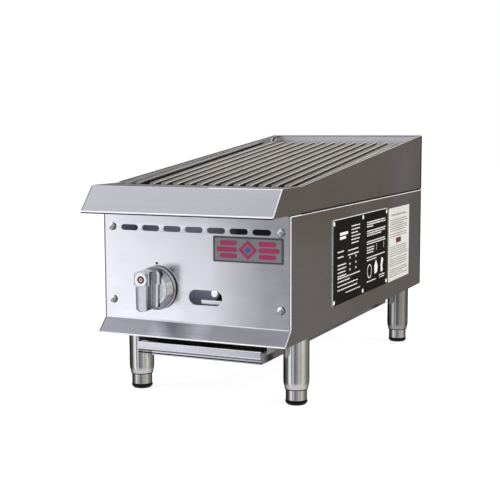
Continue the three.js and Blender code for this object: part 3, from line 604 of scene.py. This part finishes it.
def pan_head(name, x, z, node, turned):
    """A pan-head screw with a cross recess, with a painted highlight at its upper left and painted shade at
    its lower right.
    """
    bm = bmesh.new()
    steps, spokes = 18, 64
    tip = bm.verts.new(CAB @ Vector((x, -3.0, z)))
    rings = []
    for i in range(1, steps + 1):
        r = HEAD_RADIUS * i / steps
        crown = 3.6 * math.sqrt(1 - (r / 6.35) ** 2) + 0.1
        ring = []
        for u, v in ring_points(0, 0, r, spokes):
            a = abs(u * math.cos(turned) + v * math.sin(turned))
            b = abs(-u * math.sin(turned) + v * math.cos(turned))
            recess = 1.5 * clamp((0.75 - min(a, b)) / 0.35) * clamp((3.4 - max(a, b)) / 0.6)
            ring.append(bm.verts.new(CAB @ Vector((x + u, -max(0.45, crown - recess), z + v))))
        rings.append(ring)
    for radius, y in ((HEAD_RADIUS, -0.42), (2.0, -0.42), (2.0, 10.0), (0.4, 11.0)):
        rings.append([bm.verts.new(CAB @ Vector((u, y, v))) for u, v in ring_points(x, z, radius, spokes)])
    skin_cap(bm, tip, rings)
    centre = CAB @ Vector((x, 0, z))
    # Painted light: bright steel to the upper left, nickel between, shaded chrome to the lower right and
    # round the lower rim.
    for face in bm.faces:
        away = face.calc_center_median() - centre
        lower_right = 1000 * (away.x - away.z) / math.sqrt(2)
        rim = 1000 * math.hypot(away.x, away.z) > 5.1 and lower_right > -2.5
        face.material_index = 2 if lower_right > 3.4 or rim else 1 if lower_right > -1.2 else 0
    piece(name, bm, EDGE_STEEL, "cabinet", (node,), 50, False, (NICKEL, KNOB_SHADE))


for index, (spot, turned) in enumerate(zip(SCREW_SPOTS, (0.3, 0.9, 0.15, 0.6)), 1):
    pan_head(f"panel_screw_head_{index}", *spot, f"panel_screw_{index}", turned)

DOT = [(0, -0.34), (1.5, -0.32), (2.0, -0.14), (2.0, 0.05), (0, 0.05)]
lathe("indicator_dot", DOT, (-62.4, 108.5), "Y", DOT_BLACK, "cabinet", segments=32)

# ---------- legs and feet ----------
SIDES = {"left": -1, "right": 1}
# The rear legs' darker chrome is painted shade.
ENDS = {"front": CHROME, "rear": SHADED_CHROME}  # with the look of the legs
LEG_OUT = fillet([
    (0, 12), (5, 12), (5, -0.4), (19.5, -0.4), (19.5, -68.0), (17.2, -76.9), (16.3, -76.9),
    (16.3, -70.9), (18, -68.9), (18, -9), (0, -9),
], [0, 0.6, 0.4, 0.9, 5.0, 1.4, 0.3, 0.6, 0.6, 0.6, 0], 6)
FOOT_OUT = fillet([(0, -44), (15.9, -44), (15.9, -93.6), (0, -93.6)], [0, 0.8, 0.5, 0], 4)
PAD_OUT = fillet([
    (0, -93.8), (16.05, -93.8), (16.1, -95.3), (16.5, -95.5), (16.7, -97.4), (13.6, -101), (0, -101),
], [0, 0.3, 0.1, 0.3, 1.2, 0.8, 0], 5)
# A dark ring where each leg meets its foot: painted shade in the gap between them.
RING_OUT = [(16.9, -76.6), (17.3, -76.7), (17.6, -77.2), (17.3, -78.0), (16.9, -78.1), (16.9, -76.6)]
for end, leg_look in ENDS.items():
    for side in SIDES:
        corner = f"{end}_{side}"
        spot = middle(f"{corner}_leg")[:2]
        foot_body = f"{corner}_foot_body"
        lathe(f"{corner}_leg_tube", LEG_OUT, spot, "Z", leg_look, "cabinet",
              (f"{corner}_leg",), 96)
        lathe(f"{corner}_foot_barrel", FOOT_OUT, spot, "Z", NICKEL, foot_body,
              (f"{corner}_foot",), 72)
        lathe(f"{corner}_leg_gap_ring", RING_OUT, spot, "Z", GAP_SHADE, "cabinet", segments=64)
        lathe(f"{corner}_foot_sole", PAD_OUT, spot, "Z", RUBBER, foot_body,
              (f"{corner}_foot_pad",), 72)


# ---------- control knob ----------
def knob_place(u, y, v):
    return CAB @ Vector((KNOB_X + u, y, KNOB_Z + v))


def smooth(t):
    t = clamp(t)
    return t * t * (3 - 2 * t)


GRIP_FRONT = -49.0
# The grip's darker looks paint shade in its hollows and groove; the bright one paints a highlight.
GRIP_LOOKS = (KNOB_CHROME, KNOB_SHADE, KNOB_DARK, KNOB_HIGHLIGHT, KNOB_FLANK)
GRIP_ROWS = [  # depth, share of the full width left after hollowing, added width, index in GRIP_LOOKS
    (GRIP_FRONT, 0.90, 0.0, 0), (-48.4, 1.0, 0.0, 0), (-45.4, 1.0, 0.0, 0), (-44.3, 0.93, 0.0, 2),
    (-42.6, 0.52, 0.4, 2), (-40.8, 0.46, 0.8, 2), (-38.5, 0.47, 1.4, 2), (-31.2, 0.50, 2.0, 1),
    (-29.7, 0.51, 2.2, 4), (-23.2, 0.58, 2.6, 4), (-21.4, 0.80, 2.9, 4), (-20.0, 0.98, 3.2, 3),
    (-19.7, 1.16, 3.2, 1), (-13.0, 1.16, 3.2, 2),
]


def grip_half(v):
    """Half width of the face of the grip at height v: a wide head over a narrower pointer."""
    head = smooth((v - 7.4) / 1.8)
    pointer = 8.6 + 0.6 * (v + 29) / 36
    crown = 1.0 if v < 25.5 else max(0.80, 1 - 0.20 * ((v - 25.5) / 3.5) ** 2)
    foot = 1.0 if v > -26 else 0.30 + 0.70 * (v + 29.3) / 3.3
    return (pointer + (11.5 - pointer) * head) * crown * foot


def make_grip():
    """The grip: one loop round it at each height, its flanks hollowed between the head and the foot."""
    bm = bmesh.new()
    sections = []
    heights = [-29, -28.4, -27.5, -26, -24.6, -23] + [-21 + 1.45 * k for k in range(19)]
    heights += [6.9, 7.4, 7.9, 8.4, 8.9, 9.6, 11, 13, 15.5, 18, 21, 23.5, 25, 26.2, 27.2, 28, 28.6, 29]
    for v in heights:
        half = grip_half(v)
        ends = smooth((v + 29) / 9) * smooth((29.5 - v) / 7)
        loop = []
        for sign in (1, -1):
            rows = []
            for y, share, more, _ in GRIP_ROWS:
                hollow = 1 + (share - 1) * ends if share < 0.9 else share
                width = half * hollow + more * ends * (0.6 if share < 0.9 else 1)
                rows.append(knob_place(sign * width, y, v))
            if sign > 0:
                loop += reversed(rows)
                dish = 0.3 if v < 8 else 0.0
                loop += [knob_place(u * half * 0.9, GRIP_FRONT + dish * (1 - u * u), v)
                         for u in (0.6, 0.2, -0.2, -0.6)]
            else:
                loop += rows
        sections.append(loop)
    row_looks = [look for _, _, _, look in GRIP_ROWS[1:]]
    looks = list(reversed(row_looks)) + [0] * 5 + row_looks + [0]
    loft(bm, sections, looks)
    # The head's flanks get a painted highlight down to the groove behind them.
    front, head = knob_place(0, -48.0, 9)[1:]
    groove = knob_place(0, -41.5, 0).y
    for face in bm.faces:
        spot = face.calc_center_median()
        if spot.z > head and front < spot.y < groove:
            face.material_index = GRIP_LOOKS.index(KNOB_HIGHLIGHT)
    return bm


SKIRT = fillet([
    (4.4, -2.5), (31.6, -2.5), (33, -3.2), (33, -5.4), (32.4, -6.6), (31.2, -7.2), (30.6, -8.0),
    (25.4, -15.8), (24.6, -16.9), (23.8, -17.3), (4.4, -17.6), (4.4, -2.5),
], [0, 0.4, 0.5, 0.5, 0.4, 0.3, 0.4, 0.5, 0.3, 0.3, 0, 0], 4)
SKIRT_FACE = fillet([
    (6, -17.0), (23.6, -17.0), (23.6, -17.8), (22.6, -18.3), (15.0, -18.9), (6, -18.9), (6, -17.0),
], [0, 0.1, 0.3, 0.4, 0.6, 0, 0], 3)
SKIRT_EDGE = [(30.9, -7.2), (31.6, -7.7), (31.5, -8.3), (30.5, -8.3), (30.9, -7.2)]
# A dark disc behind the knob's skirt: painted shade in the gap between the skirt and the panel.
GAP_DISC = fillet([(8, -0.1), (32.6, -0.1), (33.0, -0.9), (32.0, -2.3), (8, -2.3), (8, -0.1)],
               [0, 0.2, 0.3, 0.3, 0, 0], 3)
MEDAL = fillet([
    (0, -49.3), (5.6, -49.3), (6.2, -49.6), (6.9, -50.4), (8.4, -50.4), (9.3, -49.8), (9.5, -48.6),
    (0, -48.6),
], [0, 0.2, 0.3, 0.4, 0.4, 0.3, 0.1, 0], 3)
INLAY = [(3.0, -49.2), (3.0, -49.75), (5.3, -49.75), (5.3, -49.2)]
MEDAL_DOT = [(0, -50.0), (1.4, -49.9), (1.9, -49.2), (0, -49.2)]
HUB = (KNOB_X, KNOB_Z)
MEDAL_AT = (KNOB_X, KNOB_Z + 18.0)
# The skirt's bright face is a painted highlight and its groove painted shade.
lathe("knob_skirt_face", SKIRT_FACE, HUB, "Y", KNOB_HIGHLIGHT, "knob", segments=96)
lathe("knob_skirt_groove", SKIRT_EDGE, HUB, "Y", KNOB_SHADE, "knob", segments=112)
lathe("knob_skirt", SKIRT, HUB, "Y", KNOB_CHROME, "knob", ("control_knob",), 112)
piece("knob_grip", make_grip(), GRIP_LOOKS[0], "knob", sharp=34, extra=GRIP_LOOKS[1:])
lathe("knob_gap_shade", GAP_DISC, HUB, "Y", GAP_SHADE, "cabinet", segments=96)
lathe("knob_medallion", MEDAL, MEDAL_AT, "Y", EDGE_STEEL, "knob", segments=64)
lathe("knob_medallion_inlay", INLAY, MEDAL_AT, "Y", KNOB_DARK, "knob", segments=48)
lathe("knob_medallion_dot", MEDAL_DOT, MEDAL_AT, "Y", BADGE_ENAMEL, "knob", segments=32)

# ---------- cooking grates ----------
GRATE_FRONT, GRATE_REAR = spans("left_grate")[1][0], 612.0
GRATE_RISE = 0.117
TILT = math.atan(GRATE_RISE)
DECK_BASE = 206  # height of the sloped deck where y = 0
DECK_AT = (0, GRATE_FRONT, DECK_BASE + GRATE_RISE * GRATE_FRONT)
DECK = CAB @ Matrix.Translation(DECK_AT) @ Matrix.Rotation(TILT, 4, "X")
DECK_LENGTH = (GRATE_REAR - GRATE_FRONT) / math.cos(TILT)
BAR_PITCH = 21.3
BARS_EACH = 7
# A bar's outline is (aside, height): rims with a groove between them, then flanks that narrow downwards.
BAR_RIM = [(5.5, -1.1), (5.2, -0.35), (4.6, 0), (4.0, -0.1), (3.55, -0.6), (2.3, -2.6), (1.2, -3.9)]
BAR_FLANK = [(5.0, -5.0), (4.2, -10.0), (3.3, -15.2), (2.6, -16.0)]
BAR_LINE = BAR_RIM + [(0, -4.2)] + [(-u, w) for u, w in BAR_RIM[::-1] + BAR_FLANK] + BAR_FLANK[::-1]
# The rim material is a painted highlight, the flank material painted shade.
IRON, RIM, FLANK_SHADE = 0, 1, 2  # materials of a casting
BAR_LOOKS = [RIM] * 5 + [IRON] * 9 + [FLANK_SHADE] * 9
RIB_LINE = [(-3.9, -15.6), (-3.6, -8.6), (-2.6, -7.3), (0, -6.9), (2.6, -7.3), (3.6, -8.6), (3.9, -15.6)]
RIB_LOOKS = [FLANK_SHADE, FLANK_SHADE, IRON, IRON, FLANK_SHADE, FLANK_SHADE, FLANK_SHADE]


def grate_bar(bm, x, seed):
    """A grooved bar along the deck at x, with rounded ends and a cast surface."""
    nose = [0, 0.5, 1.4, 2.8, 4.6, 7.0]
    steps = 74
    stations = nose + [7.0 + (DECK_LENGTH - 14.0) * k / steps for k in range(1, steps + 1)]
    stations += [DECK_LENGTH - y for y in nose[-2::-1]]
    sections = []
    for y in stations:
        end = min(y, DECK_LENGTH - y)
        grow = 0.62 + 0.38 * math.sqrt(1 - (1 - clamp(end / 4.6)) ** 2)
        drop = 1.4 * (1 - clamp(end / 7.0)) ** 2
        loop = []
        for u, w in BAR_LINE:
            spot = Vector((x + u * grow, y, w * (0.9 + 0.1 * grow) - drop))
            rough = noise.noise(Vector((spot.x * 0.16 + seed, y * 0.11, w * 0.2)))
            fine = noise.noise(Vector((spot.x * 0.5, y * 0.45 + seed, w * 0.5)))
            shift = 0.16 * rough + 0.10 * fine
            spot.z = min(spot.z + shift * (1 if w > -6 else 0.2), 0.0)
            spot.x -= 0.12 * fine * (1 if abs(u) > 5 else 0)
            loop.append(DECK @ spot)
        sections.append(loop)
    loft(bm, sections, BAR_LOOKS)


def grate_rib(bm, x0, x1, y, seed):
    """A cross rib between two bars, a little higher where it meets them."""
    sections = []
    for k in range(9):
        t = k / 8
        x = x0 + (x1 - x0) * t
        lift = 1.3 * (2 * t - 1) ** 4
        wave = 0.25 * noise.noise(Vector((x * 0.3, y * 0.1, seed)))
        sections.append([DECK @ Vector((x, y + v, w + (lift + wave if w > -10 else 0))) for v, w in RIB_LINE])
    loft(bm, sections, RIB_LOOKS)


for side, sign in SIDES.items():
    bm = bmesh.new()
    bars_at = [BAR_PITCH * (sign * BARS_EACH / 2 + k - BARS_EACH // 2) for k in range(BARS_EACH)]
    for k, x in enumerate(bars_at):
        grate_bar(bm, x, 3.7 * k + 11 * sign)
    for row, y in enumerate((7, DECK_LENGTH / 4, DECK_LENGTH / 2, 3 * DECK_LENGTH / 4, DECK_LENGTH - 7)):
        for k, (a, b) in enumerate(zip(bars_at, bars_at[1:])):
            grate_rib(bm, a + 4.2, b - 4.2, y, row + 0.7 * k)
    piece(f"{side}_grate_casting", bm, CAST_IRON, f"{side}_grate_body",
          (f"{side}_grate",), 60, False, (CAST_RIM, CAST_FLANK))


# ---------- plates on the cabinet ----------
def flat_piece(name, outline, holes, thickness, edge, place, material, stands_for=()):
    bm = plate_mesh(outline, holes, thickness, edge)
    bmesh.ops.transform(bm, verts=bm.verts, matrix=place)
    return piece(name, bm, material, "cabinet", stands_for)


def bars(name, strips, thickness, place, material):
    """Many small flat strips as one piece: printing without any lettering."""
    bm = bmesh.new()
    edge = 0.04
    for u0, u1, v0, v1 in strips:
        low = [bm.verts.new((u, v, 0)) for u, v in rectangle(u0, u1, v0, v1)]
        high = [bm.verts.new((u, v, thickness))
                for u, v in rectangle(u0 + edge, u1 - edge, v0 + edge, v1 - edge)]
        bm.faces.new(low)
        bm.faces.new(high)
        for k in range(4):
            bm.faces.new((low[k], low[(k + 1) % 4], high[(k + 1) % 4], high[k]))
    bmesh.ops.transform(bm, verts=bm.verts, matrix=place)
    return piece(name, bm, material, "cabinet", sharp=30, weighted=False)


def text_lines(draw, u0, u1, v_top, lines, pitch, height, ragged):
    """Strips that stand for lines of print, from the top down; ragged is how uneven their ends are."""
    strips = []
    gap = 1.2
    for k in range(lines):
        v = v_top - k * pitch
        end = u1 - (u1 - u0) * ragged * draw.random() * (1.0 if k % 3 == 2 else 0.35)
        u = u0
        while u < end - 1.5:
            word = min(draw.uniform(3.0, 9.0), end - u)
            strips.append((u, u + word, v - height, v))
            u += word + gap
    return strips


(PLATE_X, _), *PLATE_SIDES = spans("data_plate")
FACE_X = PLATE_X + 0.95
flat_piece("data_plate_back", rectangle(*PLATE_SIDES[0], *PLATE_SIDES[1], 3.0), [], 0.6, 0.2,
           facing_right(PLATE_X), TAB_BRIGHT, ("data_plate",))
flat_piece("data_plate_face", rectangle(167.7, 444.7, 30.25, 163.9, 2.6), [], 0.35, 0.12,
           facing_right(PLATE_X + 0.6), PLATE_BLACK)
PLATE_BLOCKS = [(198, 236, 138.5, 143), (198, 226, 132, 136.5), (383, 384.2, 97, 108), (424, 425.2, 97, 108)]
PLATE_BLOCKS += [(u, u + 4.5, v - 1.6, v + 1.6) for u in (244, 273) for v in (99, 89, 80)]
PLATE_ROWS = [  # from, to, top, lines, pitch, height, ragged
    (253, 297, 150, 6, 5.5, 1.9, 0.5), (188, 217, 114, 2, 8.5, 2.0, 0.1), (237, 291, 112, 2, 7.0, 2.0, 0.3),
    (188, 231, 93, 4, 5.8, 2.0, 0.2), (188, 297, 72, 1, 5, 1.9, 0.05), (188, 247, 66.5, 1, 5, 1.9, 0.05),
    (188, 285, 60, 2, 6.5, 1.9, 0.05), (226, 297, 46, 1, 5, 1.6, 0.1), (332, 434, 149, 2, 3.7, 1.9, 0.1),
    (332, 366, 141.5, 1, 4, 1.9, 0.1), (332, 434, 134, 2, 3.7, 1.9, 0.1), (332, 414, 126.5, 1, 4, 1.9, 0.1),
    (332, 434, 116, 2, 3.7, 1.9, 0.2), (332, 372, 106, 3, 4.3, 2.0, 0.2), (332, 434, 89, 1, 4, 1.9, 0.1),
    (332, 384, 84.5, 1, 4, 1.9, 0.1), (332, 384, 48, 1, 4, 1.8, 0.1), (400, 432, 52, 2, 4, 1.8, 0.2),
]
draw = random.Random(7)
plate_lines = [strip for row in PLATE_ROWS for strip in text_lines(draw, *row)]
bars("data_plate_print", PLATE_BLOCKS + plate_lines, 0.06, facing_right(FACE_X - 0.01), PRINT_LIGHT)
flat_piece("data_plate_ring", ring_points(346, 64.5, 12.0, 48), [ring_points(346, 64.5, 10.2, 48)],
           0.1, 0.03, facing_right(FACE_X), PRINT_LIGHT)
MARKS = ([(374, 56), (388, 58), (391, 69), (381, 81), (372, 70)],
         [(409, 55), (421, 57), (417, 66), (423, 78), (412, 81), (408, 68)])
for k, mark in enumerate(MARKS, 1):
    flat_piece(f"data_plate_mark_{k}", fillet(mark, 2.5, 4, True), [], 0.1, 0.03,
               facing_right(FACE_X), PRINT_LIGHT)
RIVET_RADIUS, RIVET_RISE = 3.7, 0.95


def rivet_head(name, y, z):
    bm = bmesh.new()
    steps, spokes = 8, 32
    foot = FACE_X - 0.17
    tip = bm.verts.new(CAB @ Vector((foot + RIVET_RISE, y, z)))
    rings = []
    for i in range(1, steps + 1):
        angle = 0.5 * math.pi * i / steps
        radius, rise = RIVET_RADIUS * math.sin(angle), RIVET_RISE * math.cos(angle)
        rings.append([bm.verts.new(CAB @ Vector((foot + rise, u, v)))
                      for u, v in ring_points(y, z, radius, spokes)])
    skin_cap(bm, tip, rings)
    piece(name, bm, TAB_BRIGHT, "cabinet", sharp=60, weighted=False)


for k, (y, z) in enumerate([(y, z) for y in (172, 311, 440) for z in (36, 159)], 1):
    rivet_head(f"data_plate_rivet_{k}", y, z)

LABEL_SIDES = spans("side_label")[1:]
flat_piece("side_label_sheet", rectangle(*LABEL_SIDES[0], *LABEL_SIDES[1], 1.0), [], 0.4, 0.1,
           facing_right(PLATE_X), LABEL_PAPER, ("side_label",))
label_lines = text_lines(draw, 470, 560, 150, 1, 5, 2.4, 0.1)
for top, lines in ((141, 6), (115, 2), (92, 5), (70, 4), (51, 4)):
    label_lines += text_lines(draw, 463, 575, top, lines, 4.0, 1.7, 0.3)
bars("side_label_print", label_lines, 0.05, facing_right(PLATE_X + 0.39), LABEL_GREY)
bars("side_label_block", [(500, 531, 97, 106)], 0.06, facing_right(PLATE_X + 0.39), LABEL_RED)

# Turned-in tab and open slit where the left and back guards meet; the tab is lightened with a painted
# highlight and the slit is a dark sheet of painted shade.
flat_piece("left_corner_tab", [(628, 276.0), (661, 279.0), (661, 287.9), (628, 284.4)], [], 0.5, 0.1,
           facing_right(-FIT), TAB_BRIGHT)
flat_piece("left_corner_slit", [(632, 277.0), (643, 277.6), (658, 287.6), (647, 286.3)], [], 0.3, 0.05,
           facing_right(-FIT + 0.4), GAP_SHADE)

# Name badge: a dark frame, a striped lozenge and stacked bars of enamel on a grained plate.
BADGE_ENDS, BADGE_DEPTH, BADGE_HEIGHTS = spans("name_badge")
BADGE_U, BADGE_V = middle("name_badge")[::2]
BADGE_AT = facing_front(BADGE_DEPTH[0])


def lozenge(reach_u, reach_v, radius):
    """A diamond round the badge's middle, with rounded corners."""
    corners = [(BADGE_U, BADGE_V - reach_v), (BADGE_U + reach_u, BADGE_V),
               (BADGE_U, BADGE_V + reach_v), (BADGE_U - reach_u, BADGE_V)]
    return fillet(corners, radius, 4, True)


flat_piece("name_badge_plate", rectangle(*BADGE_ENDS, *BADGE_HEIGHTS, 1.6), [], 0.9, 0.25,
           facing_front(BADGE_DEPTH[1]), BADGE_FACE, ("name_badge",))
flat_piece("name_badge_frame", rectangle(32.0, 141.0, 116.5, 153.0, 1.4),
           [rectangle(34.2, 138.8, 118.7, 150.8, 0.6)], 0.35, 0.12, BADGE_AT, BADGE_BORDER)
flat_piece("name_badge_lozenge", lozenge(15.0, 14.15, 1.5), [lozenge(8.5, 7.95, 1.0)],
           0.45, 0.14, BADGE_AT, BADGE_ENAMEL)
flat_piece("name_badge_core", lozenge(5.7, 5.35, 0.8), [], 0.4, 0.12, BADGE_AT, BADGE_BLUE)
BAR_REACH, BAR_STEP, BAR_TRIM = 3.5, 9.15, 5.0
for column, (u0, u1) in enumerate(((37.5, 69.5), (103.5, 135.5)), 1):
    for row in (1, 2, 3):
        v = BADGE_V + (row - 2) * BAR_STEP
        trim = 0.0 if row == 2 else BAR_TRIM
        left, right = (u0 + trim, u1) if column == 1 else (u0, u1 - trim)
        outline = rectangle(left, right, v - BAR_REACH, v + BAR_REACH, 3.0)
        flat_piece(f"name_badge_bar_{column}_{row}", outline, [], 0.4, 0.12,
                   BADGE_AT, BADGE_ENAMEL)

# ---------- what shows through the openings and from below ----------
for kind, new_name, ends in (
    ("heat_shield", "liner", (*SIDES, *ENDS)),
    ("grate_rest", "grate_angle", ENDS),
    ("radiant_rest", "radiant_angle", ENDS),
    ("burner_bracket", "burner_angle", ENDS),
    ("tray_rail", "rail_channel", SIDES),
):
    for end in ends:
        node = f"{end}_{kind}"
        look = LINER_STEEL if node == "front_heat_shield" else DULL_STEEL
        refined(node, f"{end}_{new_name}", look, 0.25)
for side in SIDES:
    refined(f"{side}_radiant", f"{side}_radiant_casting", RADIANT_IRON, 0.6)


def box_piece(name, x0, x1, y0, y1, z0, z1, material):
    """A flat sheet between two corners, with rounded edges."""
    bm = bmesh.new()
    bmesh.ops.create_cube(bm, size=1.0)
    for v in bm.verts:
        v.co = CAB @ Vector((x0 if v.co.x < 0 else x1, y0 if v.co.y < 0 else y1, z0 if v.co.z < 0 else z1))
    bevel(bm, list(bm.edges), 0.00025, 2)
    return piece(name, bm, material, "cabinet")


# The nut on the pilot valve is darkened with painted shade.
NUT = [(5.5, 16.4), (7.9, 16.4), (7.9, 18.4), (5.5, 18.4), (5.5, 16.4)]
lathe("pilot_valve_nut", NUT, (25.0, 66.0), "Y", KNOB_SHADE, "cabinet", segments=6, sharp=20)
# Bracket behind the lighting port that steadies the pilot valve; its dark back plate is painted shade inside
# the cabinet.
box_piece("pilot_bracket_ledge", 6.5, 46, 9.0, 22.0, 47.6, 48.8, FACE_STEEL)
box_piece("pilot_bracket_face", 6.5, 46, 9.0, 10.2, 48.8, 56.8, FACE_STEEL)
box_piece("pilot_bracket_back", -34, 60, 47.0, 48.0, 18, 84, SHADE_SHEET)

for node, cad in frame["nodes"].items():
    slot_name = next(s["material_slot"] for s in frame["record"]["subparts"] if s["node"] == node)
    if not cad.hide_render:
        cad.data.materials.clear()
        cad.data.materials.append(NODE_LOOK.get(node, SLOT_LOOK[slot_name]))


# ---------- studio ----------
# The room's colour near the horizon in rows of azimuth, red, green, blue; azimuth in degrees from -Y to +X.
# The camera stands near 22; the left side is negative.
LOW_ROOM = [
    (-180, 0.15, 0.14, 0.13), (-160, 0.11, 0.105, 0.10), (-135, 0.08, 0.078, 0.075),
    (-108, 0.04, 0.038, 0.036), (-90, 0.08, 0.076, 0.074), (-74, 0.14, 0.135, 0.135), (-60, 0.22, 0.22, 0.22),
    (-52, 0.75, 0.75, 0.78), (-44, 1.25, 1.25, 1.32), (-34, 1.30, 1.30, 1.38), (-28.5, 1.34, 1.34, 1.42),
    (-26.6, 1.20, 1.20, 1.27), (-25.4, 0.74, 0.74, 0.80), (-24.3, 0.32, 0.32, 0.365), (-22, 0.20, 0.20, 0.23),
    (-19.5, 0.34, 0.34, 0.37), (-17, 0.60, 0.60, 0.64), (-5, 0.85, 0.85, 0.90), (3, 0.28, 0.28, 0.31),
    (12, 0.22, 0.22, 0.24), (22, 0.38, 0.38, 0.40), (34, 0.42, 0.42, 0.44), (44, 0.80, 0.80, 0.81),
    (54, 0.62, 0.61, 0.60), (66, 0.62, 0.60, 0.58), (78, 1.00, 0.97, 0.92), (92, 0.80, 0.76, 0.69),
    (106, 0.55, 0.51, 0.45), (122, 0.30, 0.275, 0.25), (145, 0.25, 0.23, 0.21), (159, 0.165, 0.15, 0.135),
    (180, 0.15, 0.14, 0.13),
]
# Below the horizon the far side is dark.
NIGHT = (0.012, 0.012, 0.012)
BELOW_ROOM = [(-180, *NIGHT), (-124, *NIGHT), (-104, 0.02, 0.02, 0.02), *LOW_ROOM[4:-2],
              (162, 0.165, 0.15, 0.135), (176, *NIGHT)]
HIGH_ROOM = [
    (-180, 0.62, 0.60, 0.58), (-120, 0.60, 0.59, 0.58), (-80, 1.2, 1.2, 1.25), (-50, 1.35, 1.35, 1.4),
    (-28, 1.2, 1.2, 1.25), (0, 0.9, 0.9, 0.93), (30, 0.8, 0.8, 0.82), (70, 1.0, 1.0, 1.0),
    (120, 0.8, 0.78, 0.75), (180, 0.62, 0.60, 0.58),
]
CEILING = [
    (-180, 0.80, 0.80, 0.82), (-80, 0.76, 0.76, 0.81), (-66, 0.70, 0.70, 0.75), (-56, 0.50, 0.50, 0.54),
    (-25, 0.38, 0.38, 0.41), (10, 0.22, 0.22, 0.24), (90, 0.22, 0.22, 0.23), (130, 0.50, 0.50, 0.50),
    (180, 0.80, 0.80, 0.82),
]
TABLE = (0.90, 0.90, 0.93)


def soft_world():
    """A pale room: a bright band to the front left, dim stripes round it, pale above and below."""
    world = bpy.data.worlds.new("studio")
    bpy.context.scene.world = world
    world.use_nodes = True
    world.node_tree.nodes.clear()
    n = ShaderTree(world.node_tree)

    def ramp(stops, factor):
        node = n.add("ShaderNodeValToRGB", {"Fac": factor})
        node.color_ramp.interpolation = "EASE"
        elements = node.color_ramp.elements
        while len(elements) < len(stops):
            elements.new(0.5)
        for element, (azimuth, *colour) in zip(elements, stops):
            element.position = (azimuth + 180) / 360
            element.color = (*colour, 1.0)
        return node.outputs["Color"]

    toward = n.add("ShaderNodeTexCoord").outputs["Generated"]
    toward = n.add("ShaderNodeVectorMath", {0: toward}, operation="NORMALIZE").outputs[0]
    parts = n.add("ShaderNodeSeparateXYZ", {0: toward}).outputs

    def rise(low, high):
        """From 0 to 1 as the direction rises from one elevation to another, in degrees."""
        low, high = math.sin(math.radians(low)), math.sin(math.radians(high))
        return n.span(parts["Z"], low, high, interpolation_type="SMOOTHSTEP")

    azimuth = n.math("ARCTAN2", parts["X"], n.math("MULTIPLY", parts["Y"], -1.0))
    place = n.span(azimuth, -math.pi, math.pi)
    # Just under the horizon the edge of the bright band leans to the left.
    below, above = math.sin(math.radians(-6.6)), math.sin(math.radians(-4.6))
    leaning = n.math("ADD", place, n.span(parts["Z"], below, above, 0.0, 5.5 / 360))
    low = n.blend(rise(-9, -2), ramp(BELOW_ROOM, leaning), ramp(LOW_ROOM, leaning))
    colour = n.blend(rise(6, 18), low, ramp(HIGH_ROOM, place))
    colour = n.blend(rise(38, 52), colour, ramp(CEILING, place))
    colour = n.blend(rise(-18, -42), colour, TABLE)
    room = n.add("ShaderNodeBackground", {"Color": colour}).outputs[0]
    white = n.add("ShaderNodeBackground", {"Color": (1, 1, 1)}).outputs[0]
    seen = n.add("ShaderNodeLightPath").outputs["Is Camera Ray"]
    both = n.add("ShaderNodeMixShader", {0: seen, 1: room, 2: white}).outputs[0]
    n.add("ShaderNodeOutputWorld", {"Surface": both})


soft_world()


def area_light(name, place, target, size, power, colour, glossy):
    data = bpy.data.lights.new(name, "AREA")
    data.shape = "RECTANGLE"
    data.size, data.size_y = size
    data.energy = power
    data.color = colour
    lamp = bpy.data.objects.new(name, data)
    lamp.location = place
    lamp.rotation_euler = (Vector(target) - Vector(place)).to_track_quat("-Z", "Y").to_euler()
    lamp.visible_glossy = glossy
    lamp.visible_camera = False
    bpy.context.scene.collection.objects.link(lamp)


area_light("key", (-1.3, -1.3, 1.9), (0, 0, 0.2), (1.2, 1.2), 34, (1, 1, 1), False)
area_light("fill", (2.0, 0.3, 0.9), (0, 0, 0.25), (1.6, 1.6), 16, (1, 0.99, 0.97), False)
# Small lamps inside the cabinet keep what the vents and the lighting port show from being black.
COOL = (0.85, 0.9, 1.0)
area_light("behind_vents", (-0.02, -0.300, 0.226), (-0.02, -0.2, 0.250), (0.24, 0.02), 0.022, COOL, False)
area_light("behind_port", (0.0, -0.302, 0.186), (0.0, -0.25, 0.15), (0.09, 0.025), 0.03, COOL, True)


def make_floor():
    n = Nodes("pale_floor")
    mottle = n.noise(3)
    n.set(Base_Color=n.blend(mottle, (0.36, 0.36, 0.36), (0.40, 0.40, 0.40)), Roughness=0.8,
          Emission_Color=(1, 1, 1), Emission_Strength=0.8)
    bm = bmesh.new()
    bmesh.ops.create_grid(bm, x_segments=12, y_segments=12, size=9.0)
    mesh = bpy.data.meshes.new("floor")
    bm.to_mesh(mesh)
    bm.free()
    mesh.materials.append(n.material)
    floor = bpy.data.objects.new("floor", mesh)
    floor.visible_glossy = False
    bpy.context.scene.collection.objects.link(floor)


make_floor()
bpy.context.scene.view_settings.view_transform = "Standard"
